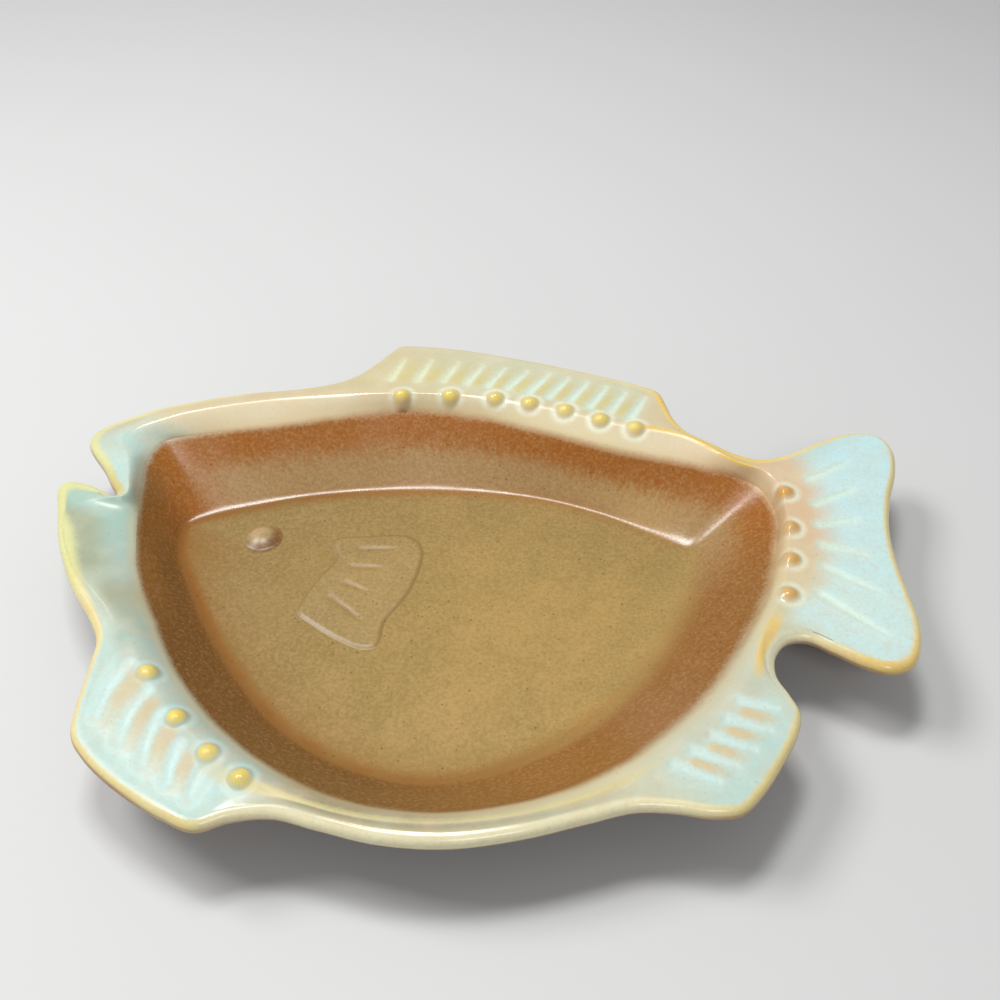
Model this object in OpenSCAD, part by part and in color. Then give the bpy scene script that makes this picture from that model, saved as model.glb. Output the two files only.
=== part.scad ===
// Fish shaped serving platter of glazed stoneware.
// The origin is on the table under the middle of the dish, +X points to the tail,
// +Y to the dorsal fin and +Z up. All sizes are in millimetres.

/* [Overall size] */
// Length of the dish, from the lips to the tail lobes
fish_l = 280; // [240:5:320]
// Depth of the dish, from the dorsal fin to the pelvic fin
fish_d = 214; // [190:2:240]
// Height of the rim's crest above the table
crest_h = 28; // [26:0.5:36]

/* [Well] */
// Height of the line on the wall where the brown and the blue glaze meet
line_h = 22.5; // [18:0.5:24]
// Height of the floor of the well above the table
floor_h = 7; // [6.5:0.25:9]
// Softness of the bend from floor to wall, as a share of the wall's run
bend_share = 0.16; // [0.05:0.01:0.3]

/* [Clay] */
// Thickness of the clay under the floor of the well
floor_t = 4.6; // [4:0.1:5]
// Thickness of the wall, measured straight down
wall_t = 7.4; // [6:0.2:9]
// Thickness of the rim under its crest
rim_t = 5.8; // [5:0.2:7]
// Thickness of the rounded edge of rim and fins
edge_t = 5; // [4:0.2:6]
// Drop of the top from the crest to the rounded edge
edge_drop = 0.8; // [0:0.1:1.5]

/* [Foot ring] */
// Height at which the wall meets the foot ring
foot_h = 2.6; // [2:0.1:4]
// Width of the foot ring
foot_w = 6; // [4:0.5:9]

/* [Glaze] */
// Thickness of each coat of glaze
glaze_t = 0.6; // [0.4:0.05:0.9]

/* [Relief] */
// Radius of a bead
bead_r = 3.3; // [2.5:0.1:4]
// Height of a bead above the rim
bead_rise = 1.7; // [1:0.1:2.2]
// Radius of the eye at the floor
eye_r = 5.8; // [4:0.1:7]
// Height of the eye above the floor
eye_rise = 2; // [1:0.1:3]
// Height of the pectoral fin above the floor
pectoral_rise = 1; // [0.5:0.1:1.6]
// Half width of a pressed fin ray at its root
ray_r = 1.6; // [1:0.1:2]
// Half width of a pressed fin ray at its tip
ray_tip_r = 0.9; // [0.6:0.1:1.4]
// Depth of a pressed fin ray
ray_depth = 0.8; // [0.4:0.1:1.2]

/* [Surface] */
// Longest straight step along the outline
outline_step = 14; // [12:0.5:18]

/* [Hidden] */

bead_fn = 12;
ray_fn = 8;
eye_fn = 18;

// The outline runs from the mouth over the back, round the tail and along the belly.
// Each point gives its place as shares of length and depth, and then its root, the
// number of the point on the three inner curves below that faces it.
outline_shares = [
    // Upper lip and back
    [-0.423, 0.032, -1.0], [-0.427, 0.040, -0.6], [-0.438, 0.055, 0], [-0.457, 0.086, 0.7],
    [-0.495, 0.140, 1.6],
    [-0.500, 0.161, 2.0], [-0.495, 0.184, 2.3], [-0.475, 0.212, 2.6], [-0.436, 0.252, 3.0],
    [-0.386, 0.287, 3.5], [-0.329, 0.318, 4.1], [-0.271, 0.341, 4.7], [-0.229, 0.365, 5.1],
    // Dorsal fin
    [-0.204, 0.390, 5.4], [-0.184, 0.430, 5.7], [-0.168, 0.472, 5.9], [-0.157, 0.493, 6.05],
    [-0.136, 0.499, 6.3], [-0.071, 0.500, 6.8], [0, 0.490, 7.4], [0.071, 0.475, 8.0],
    [0.136, 0.457, 8.6], [0.182, 0.441, 9.0], [0.204, 0.428, 9.3], [0.216, 0.395, 9.5],
    [0.227, 0.358, 9.7],
    // Stalk of the tail, seen from the back
    [0.245, 0.327, 10.0], [0.279, 0.301, 10.5], [0.311, 0.280, 11.0], [0.336, 0.276, 11.4],
    // Tail
    [0.364, 0.292, 11.8], [0.400, 0.327, 12.1], [0.436, 0.358, 12.4], [0.466, 0.369, 12.6],
    [0.487, 0.360, 12.8], [0.499, 0.329, 13.0], [0.498, 0.278, 13.2], [0.487, 0.212, 13.5],
    [0.481, 0.147, 13.8], [0.483, 0.081, 14.1], [0.491, 0.015, 14.4], [0.498, -0.041, 14.7],
    [0.495, -0.088, 14.9], [0.484, -0.120, 15.05], [0.463, -0.134, 15.2], [0.436, -0.128, 15.3],
    [0.405, -0.110, 15.45], [0.379, -0.096, 15.6],
    // Notch between tail and anal fin
    [0.359, -0.103, 15.8], [0.346, -0.130, 16.1], [0.346, -0.165, 16.5], [0.359, -0.195, 16.8],
    // Anal fin
    [0.368, -0.221, 17.0], [0.365, -0.252, 17.2], [0.350, -0.299, 17.6], [0.329, -0.351, 18.0],
    [0.311, -0.379, 18.3], [0.286, -0.388, 18.6], [0.250, -0.388, 18.9], [0.214, -0.394, 19.1],
    // Belly
    [0.171, -0.418, 19.5], [0.114, -0.450, 20.0], [0.050, -0.475, 20.6], [-0.014, -0.482, 21.2],
    [-0.071, -0.475, 21.8], [-0.114, -0.469, 22.2], [-0.150, -0.481, 22.5],
    // Pelvic fin
    [-0.179, -0.500, 22.75], [-0.214, -0.490, 23.0], [-0.268, -0.460, 23.3],
    [-0.311, -0.425, 23.6], [-0.332, -0.397, 23.9], [-0.342, -0.352, 24.2],
    [-0.350, -0.287, 24.7], [-0.357, -0.245, 25.0],
    // Throat and lower jaw
    [-0.375, -0.212, 25.25], [-0.416, -0.156, 25.7], [-0.457, -0.081, 26.35],
    [-0.487, -0.003, 26.85], [-0.500, 0.039, 27.1], [-0.491, 0.054, 27.25],
    [-0.464, 0.052, 27.45], [-0.445, 0.043, 27.65], [-0.430, 0.034, 27.85]
];

// Edge of the floor of the well
floor_shares = [
    [-0.364, 0.076], [-0.354, 0.090], [-0.329, 0.109], [-0.286, 0.137], [-0.229, 0.170],
    [-0.157, 0.198], [-0.079, 0.217], [0, 0.226], [0.071, 0.224], [0.143, 0.205],
    [0.204, 0.175], [0.243, 0.151], [0.261, 0.142], [0.259, 0.100], [0.250, 0.034],
    [0.236, -0.031], [0.218, -0.097], [0.193, -0.163], [0.157, -0.228], [0.111, -0.284],
    [0.054, -0.329], [-0.014, -0.348], [-0.086, -0.334], [-0.157, -0.291], [-0.221, -0.219],
    [-0.279, -0.134], [-0.325, -0.050], [-0.354, 0.011], [-0.362, 0.048]
];

// Line where the two glazes meet
line_shares = [
    [-0.411, 0.086], [-0.421, 0.137], [-0.414, 0.189], [-0.375, 0.215], [-0.307, 0.245],
    [-0.214, 0.287], [-0.121, 0.327], [-0.029, 0.327], [0.064, 0.301], [0.150, 0.273],
    [0.236, 0.257], [0.300, 0.245], [0.332, 0.229], [0.354, 0.165], [0.350, 0.081],
    [0.336, -0.008], [0.316, -0.083], [0.286, -0.167], [0.243, -0.252], [0.186, -0.327],
    [0.114, -0.388], [0.021, -0.425], [-0.071, -0.420], [-0.164, -0.373], [-0.250, -0.289],
    [-0.314, -0.186], [-0.361, -0.097], [-0.389, -0.008], [-0.400, 0.034]
];

// Crest of the rim
crest_shares = [
    [-0.420, 0.070], [-0.435, 0.114], [-0.457, 0.165], [-0.418, 0.222], [-0.339, 0.278],
    [-0.232, 0.322], [-0.129, 0.348], [-0.029, 0.360], [0.064, 0.351], [0.157, 0.325],
    [0.243, 0.306], [0.307, 0.252], [0.346, 0.231], [0.362, 0.165], [0.364, 0.072],
    [0.354, -0.022], [0.332, -0.102], [0.318, -0.181], [0.271, -0.270], [0.204, -0.359],
    [0.121, -0.420], [0.021, -0.455], [-0.071, -0.453], [-0.171, -0.409], [-0.268, -0.322],
    [-0.339, -0.214], [-0.425, -0.116], [-0.468, -0.003], [-0.412, 0.031]
];

// Middle of the floor, where all rings of the well close
middle_shares = [-0.036, -0.040];

// Centres of the beads
dorsal_bead_shares = [
    [-0.129, 0.341], [-0.066, 0.354], [-0.007, 0.359], [0.039, 0.354], [0.086, 0.344],
    [0.133, 0.328], [0.178, 0.315]
];
tail_bead_shares = [[0.361, 0.191], [0.365, 0.113], [0.364, 0.046], [0.360, -0.024]];
pelvic_bead_shares = [[-0.283, -0.294], [-0.234, -0.357], [-0.190, -0.402], [-0.151, -0.430]];

// Pressed rays, each from its root to its tip, and over its bend where it has one
dorsal_ray_shares = [
    [[-0.152, 0.384], [-0.144, 0.447]], [[-0.117, 0.388], [-0.107, 0.451]],
    [[-0.082, 0.393], [-0.070, 0.451]], [[-0.050, 0.393], [-0.036, 0.449]],
    [[-0.022, 0.390], [-0.006, 0.447]], [[0.005, 0.390], [0.025, 0.444]],
    [[0.034, 0.383], [0.055, 0.442]], [[0.061, 0.376], [0.082, 0.437]],
    [[0.089, 0.369], [0.108, 0.430]], [[0.116, 0.360], [0.134, 0.421]],
    [[0.143, 0.351], [0.160, 0.411]], [[0.170, 0.341], [0.186, 0.402]]
];
tail_ray_shares = [
    [[0.391, 0.231], [0.438, 0.283]], [[0.396, 0.175], [0.441, 0.217]],
    [[0.398, 0.128], [0.443, 0.151]], [[0.400, 0.083], [0.445, 0.076]],
    [[0.400, 0.039], [0.457, 0.004]], [[0.393, -0.017], [0.459, -0.074]]
];
anal_ray_shares = [
    [[0.307, -0.221], [0.343, -0.224]], [[0.295, -0.252], [0.336, -0.259]],
    [[0.280, -0.281], [0.321, -0.291]], [[0.263, -0.307], [0.304, -0.319]],
    [[0.245, -0.331], [0.287, -0.344]]
];
pelvic_ray_shares = [
    [[-0.306, -0.284], [-0.315, -0.322], [-0.314, -0.367]],
    [[-0.275, -0.323], [-0.282, -0.354], [-0.281, -0.401]],
    [[-0.252, -0.356], [-0.254, -0.387], [-0.249, -0.428]],
    [[-0.221, -0.395], [-0.221, -0.420], [-0.217, -0.447]],
    [[-0.190, -0.428], [-0.192, -0.443], [-0.191, -0.464]]
];
rim_ray_shares = concat(dorsal_ray_shares, tail_ray_shares, anal_ray_shares, pelvic_ray_shares);
rim_bead_shares = concat(dorsal_bead_shares, tail_bead_shares, pelvic_bead_shares);

// Eye and pectoral fin on the floor of the well
eye_shares = [-0.262, 0.063];
// The fin has an upper and a lower lobe, with a waist between them at its root
pectoral_lobe_shares = [
    [
        [-0.168, 0.072], [-0.132, 0.085], [-0.089, 0.095], [-0.075, 0.086], [-0.067, 0.062],
        [-0.071, -0.017], [-0.157, 0.036]
    ],
    [
        [-0.067, 0.062], [-0.071, -0.017], [-0.088, -0.082], [-0.089, -0.120], [-0.101, -0.126],
        [-0.129, -0.114], [-0.159, -0.094], [-0.178, -0.075], [-0.178, -0.054], [-0.157, 0.036]
    ]
];
pectoral_ray_shares = [
    [[-0.136, 0.059], [-0.096, 0.071]], [[-0.140, 0.020], [-0.106, 0.027]],
    [[-0.141, -0.015], [-0.114, -0.026]], [[-0.152, -0.048], [-0.110, -0.082]]
];

// Rings of the surface, as shares of the stretch that each belongs to
wall_ring_shares = [-0.12, 0, 0.12, 0.35];
shoulder_ring_shares = [0, 0.3, 0.65, 1];
flange_ring_share = 0.5;
shoulder_power = 1.5;
edge_turns = [45, 90, 135];
foot_share = 0.08;
haunch_share = 0.5;
narrow_share = 0.5;
bite = 2.2;
nudge = 0.01;
dome_shares = [1, 0.5, 0];
ray_floor_share = 0.4;
ray_lift = 1;
button_root = 1.2;
bead_root = 4.4;

// Points and curves

function wrap(i, n) = (i % n + n) % n;
function mix(a, b, s) = a + (b - a) * s;
function sized(s) = [s[0] * fish_l, s[1] * fish_d];

// Point moved towards another by a length
function drawn(p, towards, far) = mix(p, towards, far / norm(towards - p));

// Closed curve through the points, with knots at the square roots of their distances
function curve_at(points, t) =
    let (
        n = len(points),
        i = floor(t),
        s = t - i,
        p0 = points[wrap(i - 1, n)],
        p1 = points[wrap(i, n)],
        p2 = points[wrap(i + 1, n)],
        p3 = points[wrap(i + 2, n)],
        d0 = sqrt(norm(p1 - p0)),
        d1 = sqrt(norm(p2 - p1)),
        d2 = sqrt(norm(p3 - p2)),
        m1 = p2 - p1 + d1 * ((p1 - p0) / d0 - (p2 - p0) / (d0 + d1)),
        m2 = p2 - p1 + d1 * ((p3 - p2) / d2 - (p3 - p1) / (d1 + d2))
    )
    (2 * s ^ 3 - 3 * s ^ 2 + 1) * p1 + (s ^ 3 - 2 * s ^ 2 + s) * m1
    + (3 * s ^ 2 - 2 * s ^ 3) * p2 + (s ^ 3 - s ^ 2) * m2;

outline_points = [for (s = outline_shares) sized(s)];
floor_points = [for (s = floor_shares) sized(s)];
line_points = [for (s = line_shares) sized(s)];
crest_points = [for (s = crest_shares) sized(s)];
middle = sized(middle_shares);

// Stations along the outline: every span is cut into steps no longer than outline_step
spans = len(outline_points);
stations = [
    for (i = [0 : spans - 1])
        let (
            span = norm(outline_points[wrap(i + 1, spans)] - outline_points[i]),
            steps = max(1, ceil(span / outline_step))
        )
        for (k = [0 : steps - 1]) i + k / steps
];

// Root of a station on the inner curves, straight between the outline's own roots
function root_at(t) =
    let (
        i = floor(t),
        from = outline_shares[i][2],
        to = i + 1 < spans ? outline_shares[i + 1][2] : outline_shares[0][2] + len(floor_shares)
    )
    mix(from, to, t - i);

outer = [for (t = stations) curve_at(outline_points, t)];

// Unit vector at a station that points square to the outline into the dish
function inward_at(t) =
    let (d = curve_at(outline_points, t + nudge) - curve_at(outline_points, t - nudge))
    [d[1], -d[0]] / norm(d);

inward = [for (t = stations) inward_at(t)];
foot_edge = [for (t = stations) curve_at(floor_points, root_at(t))];
line = [for (t = stations) curve_at(line_points, root_at(t))];
crest = [for (t = stations) curve_at(crest_points, root_at(t))];
last = len(stations) - 1;

// The dish is moved so that its box is centred on the origin
outer_x = [for (p = outer) p[0]];
outer_y = [for (p = outer) p[1]];
centre = [(min(outer_x) + max(outer_x)) / 2, (min(outer_y) + max(outer_y)) / 2];

// Heights and thicknesses that follow from the sizes

edge_h = crest_h - edge_drop;
recess_h = floor_h - glaze_t - floor_t;
edge_r = edge_t / 2;

// Height of the wall at a share of its run, a straight slope that bends softly into the floor
function bend(w) = (w + sqrt(w ^ 2 + bend_share ^ 2)) / 2;
function wall_h(w) = mix(floor_h, line_h, bend(w) / bend(1));

// Height of the shoulder between the glaze line and the crest, levelling out at the crest
function shoulder_h(v) = mix(line_h, crest_h, 1 - (1 - v) ^ shoulder_power);

// Rings of points round the dish

function ring(points, h) = [for (p = points) [p[0] - centre[0], p[1] - centre[1], h]];
function between(a, b, s) = [for (i = [0 : last]) mix(a[i], b[i], s)];

// Outline drawn in by an inset, by less where the rim is narrow
function edge_points(inset) = [
    for (i = [0 : last])
        outer[i] + min(inset, norm(crest[i] - outer[i]) * narrow_share) * inward[i]
];

// Top of the well, from its middle out to the glaze line, lowered by a coat
function well_rings(coat) =
    [for (w = wall_ring_shares) ring(between(foot_edge, line, w), wall_h(w) - coat)];

// Shoulder and flange, from the glaze line out to the start of the rounded edge
function shoulder_rings(coat) = concat(
    [for (v = shoulder_ring_shares) ring(between(line, crest, v), shoulder_h(v) - coat)],
    [
        ring(
            between(crest, edge_points(edge_r), flange_ring_share),
            crest_h - edge_drop * flange_ring_share ^ 2 - coat
        )
    ]
);

// Rounded edge, from the top round to the underside
function edge_rings(coat) = concat(
    [ring(edge_points(edge_r), edge_h - coat)],
    [for (a = edge_turns)
        ring(
            between(edge_points(edge_r), edge_points(coat), sin(a)),
            edge_h - edge_r + (edge_r - coat) * cos(a)
        )],
    [ring(edge_points(edge_r), edge_h - edge_t + coat)]
);

// Underside, from the rounded edge down to the foot ring, raised by a coat
function underside_rings(coat) = [
    ring(crest, crest_h - rim_t + coat),
    ring(line, line_h - wall_t + coat),
    ring(between(foot_edge, line, mix(foot_share, 1, haunch_share)),
        mix(foot_h, line_h - wall_t, haunch_share) + coat),
    ring(between(foot_edge, line, foot_share), foot_h + coat)
];

// Bare foot ring and the recess inside it
foot_out = between(foot_edge, line, foot_share);
foot_in = [for (p = foot_out) drawn(p, middle, foot_w)];
foot_rings = [ring(foot_out, 0), ring(foot_in, 0), ring(foot_in, recess_h)];

// Solids from rings

// Triangles between neighbouring rings of a list that starts at point number start
function band_faces(rings, n, start) = [
    for (j = [0 : rings - 2], i = [0 : n - 1])
        let (a = start + j * n + i, b = start + j * n + (i + 1) % n)
        for (f = [[a, b + n, b], [a, a + n, b + n]]) f
];

// Solid closed by a point at each end
module capped(rings, first_point, last_point) {
    n = len(rings[0]);
    count = len(rings);
    points = concat([first_point], [for (r = rings) each r], [last_point]);
    end = 1 + (count - 1) * n;
    polyhedron(points, concat(
        [for (i = [0 : n - 1]) [0, 1 + i, 1 + (i + 1) % n]],
        band_faces(count, n, 1),
        [for (i = [0 : n - 1]) [end + (i + 1) % n, end + i, len(points) - 1]]
    ));
}

// Solid whose last ring joins its first
module hollow(rings) {
    n = len(rings[0]);
    count = len(rings);
    points = [for (r = rings) each r];
    polyhedron(points, concat(
        band_faces(count, n, 0),
        [for (i = [0 : n - 1])
            let (a = (count - 1) * n + i, b = (count - 1) * n + (i + 1) % n)
            for (f = [[a, (i + 1) % n, b], [a, i, (i + 1) % n]]) f]
    ));
}

function over_middle(h) = [middle[0] - centre[0], middle[1] - centre[1], h];

// Relief

module at(shares, h) {
    p = sized(shares) - centre;
    translate([p[0], p[1], h]) children();
}

// Button with a domed top that stands up by rise from a place at height h, and whose root
// goes down into the clay
module button(shares, r, rise, h, fn, root = button_root) {
    ball_r = (r ^ 2 + rise ^ 2) / (2 * rise);
    reach = asin(r / ball_r);
    at(shares, h) rotate_extrude($fn = fn) polygon(concat(
        [[0, -root], [r, -root]],
        [for (s = dome_shares)
            [ball_r * sin(reach * s), rise - ball_r + ball_r * cos(reach * s)]]
    ));
}

// Pan with sloping sides, of radius r at height h and ray_depth deep
module pan(shares, r, h) {
    slope = r * (1 - ray_floor_share) / ray_depth;
    at(shares, h - ray_depth)
        cylinder(h = ray_depth + ray_lift, r1 = r - slope * ray_depth, r2 = r + slope * ray_lift,
            $fn = ray_fn);
}

// Ray pressed into a flat place at height h, narrower from its root to its tip
module ray(route, h, coat) {
    last = len(route) - 1;
    for (i = [1 : last]) hull() for (j = [i - 1, i])
        pan(route[j], ray_r + (ray_tip_r - ray_r) * j / last + coat, h - coat);
}

module beads(coat) {
    for (s = rim_bead_shares)
        button(s, bead_r - coat, bead_rise, crest_h - coat, bead_fn, bead_root);
}

module rim_rays(coat) {
    for (route = rim_ray_shares) ray(route, crest_h, coat);
}

module pectoral(coat) {
    for (lobe = pectoral_lobe_shares)
        hull() for (s = lobe) button(s, ray_r, pectoral_rise, floor_h - coat, ray_fn);
}

module floor_relief(coat) {
    button(eye_shares, eye_r - coat, eye_rise, floor_h - coat, eye_fn);
    pectoral(coat);
}

module pectoral_rays(coat) {
    for (route = pectoral_ray_shares) ray(route, floor_h + pectoral_rise, coat);
}

// Pieces

// Clay casting with its relief pressed a little deeper than the glaze shows it
module clay() {
    difference() {
        union() {
            capped(
                concat(
                    well_rings(glaze_t), shoulder_rings(glaze_t), edge_rings(glaze_t),
                    underside_rings(glaze_t), foot_rings
                ),
                over_middle(floor_h - glaze_t), over_middle(recess_h)
            );
            beads(glaze_t);
            floor_relief(glaze_t);
        }
        rim_rays(glaze_t);
        pectoral_rays(glaze_t);
    }
}

module stoneware_body() {
    color("burlywood") clay();
}

// Brown coat, a sheet over the well that reaches into the clay, less the clay
module well_glaze() {
    color("peru") difference() {
        union() {
            capped(
                concat(
                    well_rings(0),
                    [ring(line, line_h), ring(line, line_h - bite)],
                    [ring(foot_edge, floor_h - bite)]
                ),
                over_middle(floor_h), over_middle(floor_h - bite)
            );
            floor_relief(0);
        }
        pectoral_rays(0);
        clay();
    }
}

// Blue coat over shoulder, flange and edge, less the clay
module rim_glaze() {
    color("lightblue") difference() {
        union() {
            hollow(concat(
                shoulder_rings(0), edge_rings(0),
                [
                    ring(edge_points(edge_r), edge_h - edge_r),
                    ring(crest, crest_h - bite),
                    ring(line, line_h - bite)
                ]
            ));
            beads(0);
        }
        rim_rays(0);
        clay();
    }
}

// Brown coat under the rim and down the outside of the wall, less the clay
module underside_glaze() {
    color("saddlebrown") difference() {
        hollow(concat(
            [ring(edge_points(edge_r), edge_h - edge_t)],
            underside_rings(0),
            [
                ring(foot_out, foot_h + bite),
                ring(line, line_h - wall_t + bite),
                ring(crest, crest_h - rim_t + bite),
                ring(edge_points(edge_r), edge_h - edge_r)
            ]
        ));
        clay();
    }
}

stoneware_body();
well_glaze();
rim_glaze();
underside_glaze();
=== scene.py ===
"""Fish shaped serving platter of glazed stoneware, dressed for rendering.

The dish is one pressed casting under three coats of glaze. Every surface is a loft: rings
that run round the dish, each with the same stations, joined to their neighbours. The rings
lie between four closed curves seen from above, which are the edge of the floor, the line
where the brown and the blue glaze meet, the crest of the rim and the outline. All sizes are
in metres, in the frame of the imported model.
"""

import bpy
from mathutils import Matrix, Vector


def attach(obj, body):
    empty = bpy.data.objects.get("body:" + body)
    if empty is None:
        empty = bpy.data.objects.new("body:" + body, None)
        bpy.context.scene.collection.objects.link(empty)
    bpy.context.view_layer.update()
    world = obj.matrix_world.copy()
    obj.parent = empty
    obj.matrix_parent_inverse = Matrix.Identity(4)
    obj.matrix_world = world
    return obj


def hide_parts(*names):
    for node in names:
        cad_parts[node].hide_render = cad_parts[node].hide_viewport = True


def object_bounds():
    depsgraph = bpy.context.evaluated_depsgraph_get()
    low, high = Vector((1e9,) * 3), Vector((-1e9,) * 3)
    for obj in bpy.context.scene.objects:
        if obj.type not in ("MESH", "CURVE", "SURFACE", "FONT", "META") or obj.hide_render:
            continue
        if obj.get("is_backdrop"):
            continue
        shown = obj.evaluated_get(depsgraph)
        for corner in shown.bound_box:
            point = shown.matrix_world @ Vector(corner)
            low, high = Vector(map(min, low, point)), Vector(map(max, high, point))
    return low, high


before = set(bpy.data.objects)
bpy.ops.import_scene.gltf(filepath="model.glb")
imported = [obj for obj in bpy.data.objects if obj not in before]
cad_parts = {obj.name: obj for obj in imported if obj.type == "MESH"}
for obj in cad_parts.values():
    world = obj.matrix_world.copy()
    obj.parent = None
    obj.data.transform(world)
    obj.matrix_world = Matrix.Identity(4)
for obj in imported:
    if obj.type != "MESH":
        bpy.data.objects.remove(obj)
cad_low, cad_high = (tuple(corner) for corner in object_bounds())

import math

import bpy
import numpy as np
from mathutils import Vector

bl_info = {
    "name": "Fish Platter",
    "version": (1, 0, 0),
    "blender": (4, 5, 0),
    "location": "3D View > Sidebar > Fish Platter",
    "description": "Builds a glazed stoneware fish platter piece by piece",
    "category": "Add Mesh",
}

MM = 0.001

# How far below the surface the back of a coat lies, and that of the eye and pectoral fin
COAT_BACK = 2.2 * MM
RELIEF_BACK = 1.2 * MM
# How far the rims of the eye and pectoral fin dip below the floor, in each of two steps
DIP = 0.03 * MM
# Shares of the wall's run where the wall's rings begin, on the floor, and where the foot is
WALL_START = -0.3
FOOT_SHARE = 0.08
# Reach of a bead's skirt as a share of its radius
BEAD_SKIRT = 1.25
# Strength of the matt layer, as added roughness
MATT_GAIN = 0.34
# Stations round the dish
STATIONS = 1152
# Radius by which the foot ring is rounded over
FOOT_ROUND = 0.9 * MM
# Margin of the pectoral fin's grid round its outline, and pitch of the grid
FIN_MARGIN = 5 * MM
FIN_PITCH = 0.25 * MM

# Reach of the floor from the middle, in metres
FLOOR_REACH = 4.0
# Name, place, width and depth, and power in watts of each lamp, and the place they aim at
LAMPS = (
    ("softbox", (-0.12, 0.16, 1.04), (0.30, 0.22), 4.85),
    ("left_softbox", (-0.70, 0.10, 1.0), (0.50, 0.36), 8.0),
    ("fill", (0.4, -1.1, 1.2), (0.40, 0.40), 3.6),
)
LAMP_AIM = (0, 0, 0.02)

# Outline of the dish from the mouth over the back, round the tail and along the belly, as
# shares of length and depth. The third number is the root, the place on the inner curves
# below that faces the point.
OUTLINE_SHARES = (
    # Upper lip and back
    (-0.423, 0.032, -1.0), (-0.427, 0.040, -0.6), (-0.438, 0.055, 0), (-0.457, 0.086, 0.7),
    (-0.495, 0.140, 1.6), (-0.500, 0.161, 2.0), (-0.495, 0.184, 2.3), (-0.475, 0.212, 2.6),
    (-0.436, 0.252, 3.0), (-0.386, 0.287, 3.5), (-0.329, 0.318, 4.1), (-0.271, 0.341, 4.7),
    (-0.229, 0.365, 5.1),
    # Dorsal fin
    (-0.204, 0.390, 5.4), (-0.184, 0.430, 5.7), (-0.168, 0.472, 5.9), (-0.157, 0.493, 6.05),
    (-0.136, 0.499, 6.3), (-0.071, 0.500, 6.8), (0, 0.490, 7.4), (0.071, 0.475, 8.0),
    (0.136, 0.457, 8.6), (0.182, 0.441, 9.0), (0.204, 0.428, 9.3), (0.216, 0.395, 9.5),
    (0.227, 0.358, 9.7),
    # Stalk of the tail, seen from the back
    (0.245, 0.327, 10.0), (0.279, 0.301, 10.5), (0.311, 0.280, 11.0), (0.336, 0.276, 11.4),
    # Tail
    (0.364, 0.292, 11.8), (0.400, 0.327, 12.1), (0.436, 0.358, 12.4), (0.466, 0.369, 12.6),
    (0.487, 0.360, 12.8), (0.499, 0.329, 13.0), (0.498, 0.278, 13.2), (0.487, 0.212, 13.5),
    (0.481, 0.147, 13.8), (0.483, 0.081, 14.1), (0.491, 0.015, 14.4), (0.498, -0.041, 14.7),
    (0.495, -0.088, 14.9), (0.484, -0.120, 15.05), (0.463, -0.134, 15.2),
    (0.436, -0.128, 15.3), (0.405, -0.110, 15.45), (0.379, -0.096, 15.6),
    # Notch between tail and anal fin
    (0.359, -0.103, 15.8), (0.346, -0.130, 16.1), (0.346, -0.165, 16.5), (0.359, -0.195, 16.8),
    # Anal fin
    (0.368, -0.221, 17.0), (0.365, -0.252, 17.2), (0.350, -0.299, 17.6), (0.329, -0.351, 18.0),
    (0.311, -0.379, 18.3), (0.286, -0.388, 18.6), (0.250, -0.388, 18.9), (0.214, -0.394, 19.1),
    # Belly
    (0.171, -0.418, 19.5), (0.114, -0.450, 20.0), (0.050, -0.475, 20.6), (-0.014, -0.482, 21.2),
    (-0.071, -0.475, 21.8), (-0.114, -0.469, 22.2), (-0.150, -0.481, 22.5),
    # Pelvic fin
    (-0.179, -0.500, 22.75), (-0.214, -0.490, 23.0), (-0.268, -0.460, 23.3),
    (-0.311, -0.425, 23.6), (-0.332, -0.397, 23.9), (-0.342, -0.352, 24.2),
    (-0.350, -0.287, 24.7), (-0.357, -0.245, 25.0),
    # Throat and lower jaw
    (-0.375, -0.212, 25.25), (-0.416, -0.156, 25.7), (-0.457, -0.081, 26.35),
    (-0.487, -0.003, 26.85), (-0.500, 0.039, 27.1), (-0.491, 0.054, 27.25),
    (-0.464, 0.052, 27.45), (-0.445, 0.043, 27.65), (-0.430, 0.034, 27.85),
)

# Edge of the floor of the well
FLOOR_SHARES = (
    (-0.364, 0.076), (-0.354, 0.090), (-0.329, 0.109), (-0.286, 0.137), (-0.229, 0.170),
    (-0.157, 0.198), (-0.079, 0.217), (0, 0.226), (0.071, 0.224), (0.143, 0.205),
    (0.204, 0.175), (0.243, 0.151), (0.261, 0.142), (0.259, 0.100), (0.250, 0.034),
    (0.236, -0.031), (0.218, -0.097), (0.193, -0.163), (0.157, -0.228), (0.111, -0.284),
    (0.054, -0.329), (-0.014, -0.348), (-0.086, -0.334), (-0.157, -0.291), (-0.221, -0.219),
    (-0.279, -0.134), (-0.325, -0.050), (-0.354, 0.011), (-0.362, 0.048),
)

# Line where the two glazes meet
LINE_SHARES = (
    (-0.411, 0.086), (-0.421, 0.137), (-0.414, 0.189), (-0.375, 0.215), (-0.307, 0.245),
    (-0.214, 0.287), (-0.121, 0.327), (-0.029, 0.327), (0.064, 0.301), (0.150, 0.273),
    (0.236, 0.257), (0.300, 0.245), (0.332, 0.229), (0.354, 0.165), (0.350, 0.081),
    (0.336, -0.008), (0.316, -0.083), (0.286, -0.167), (0.243, -0.252), (0.186, -0.327),
    (0.114, -0.388), (0.021, -0.425), (-0.071, -0.420), (-0.164, -0.373), (-0.250, -0.289),
    (-0.314, -0.186), (-0.361, -0.097), (-0.389, -0.008), (-0.400, 0.034),
)

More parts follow.
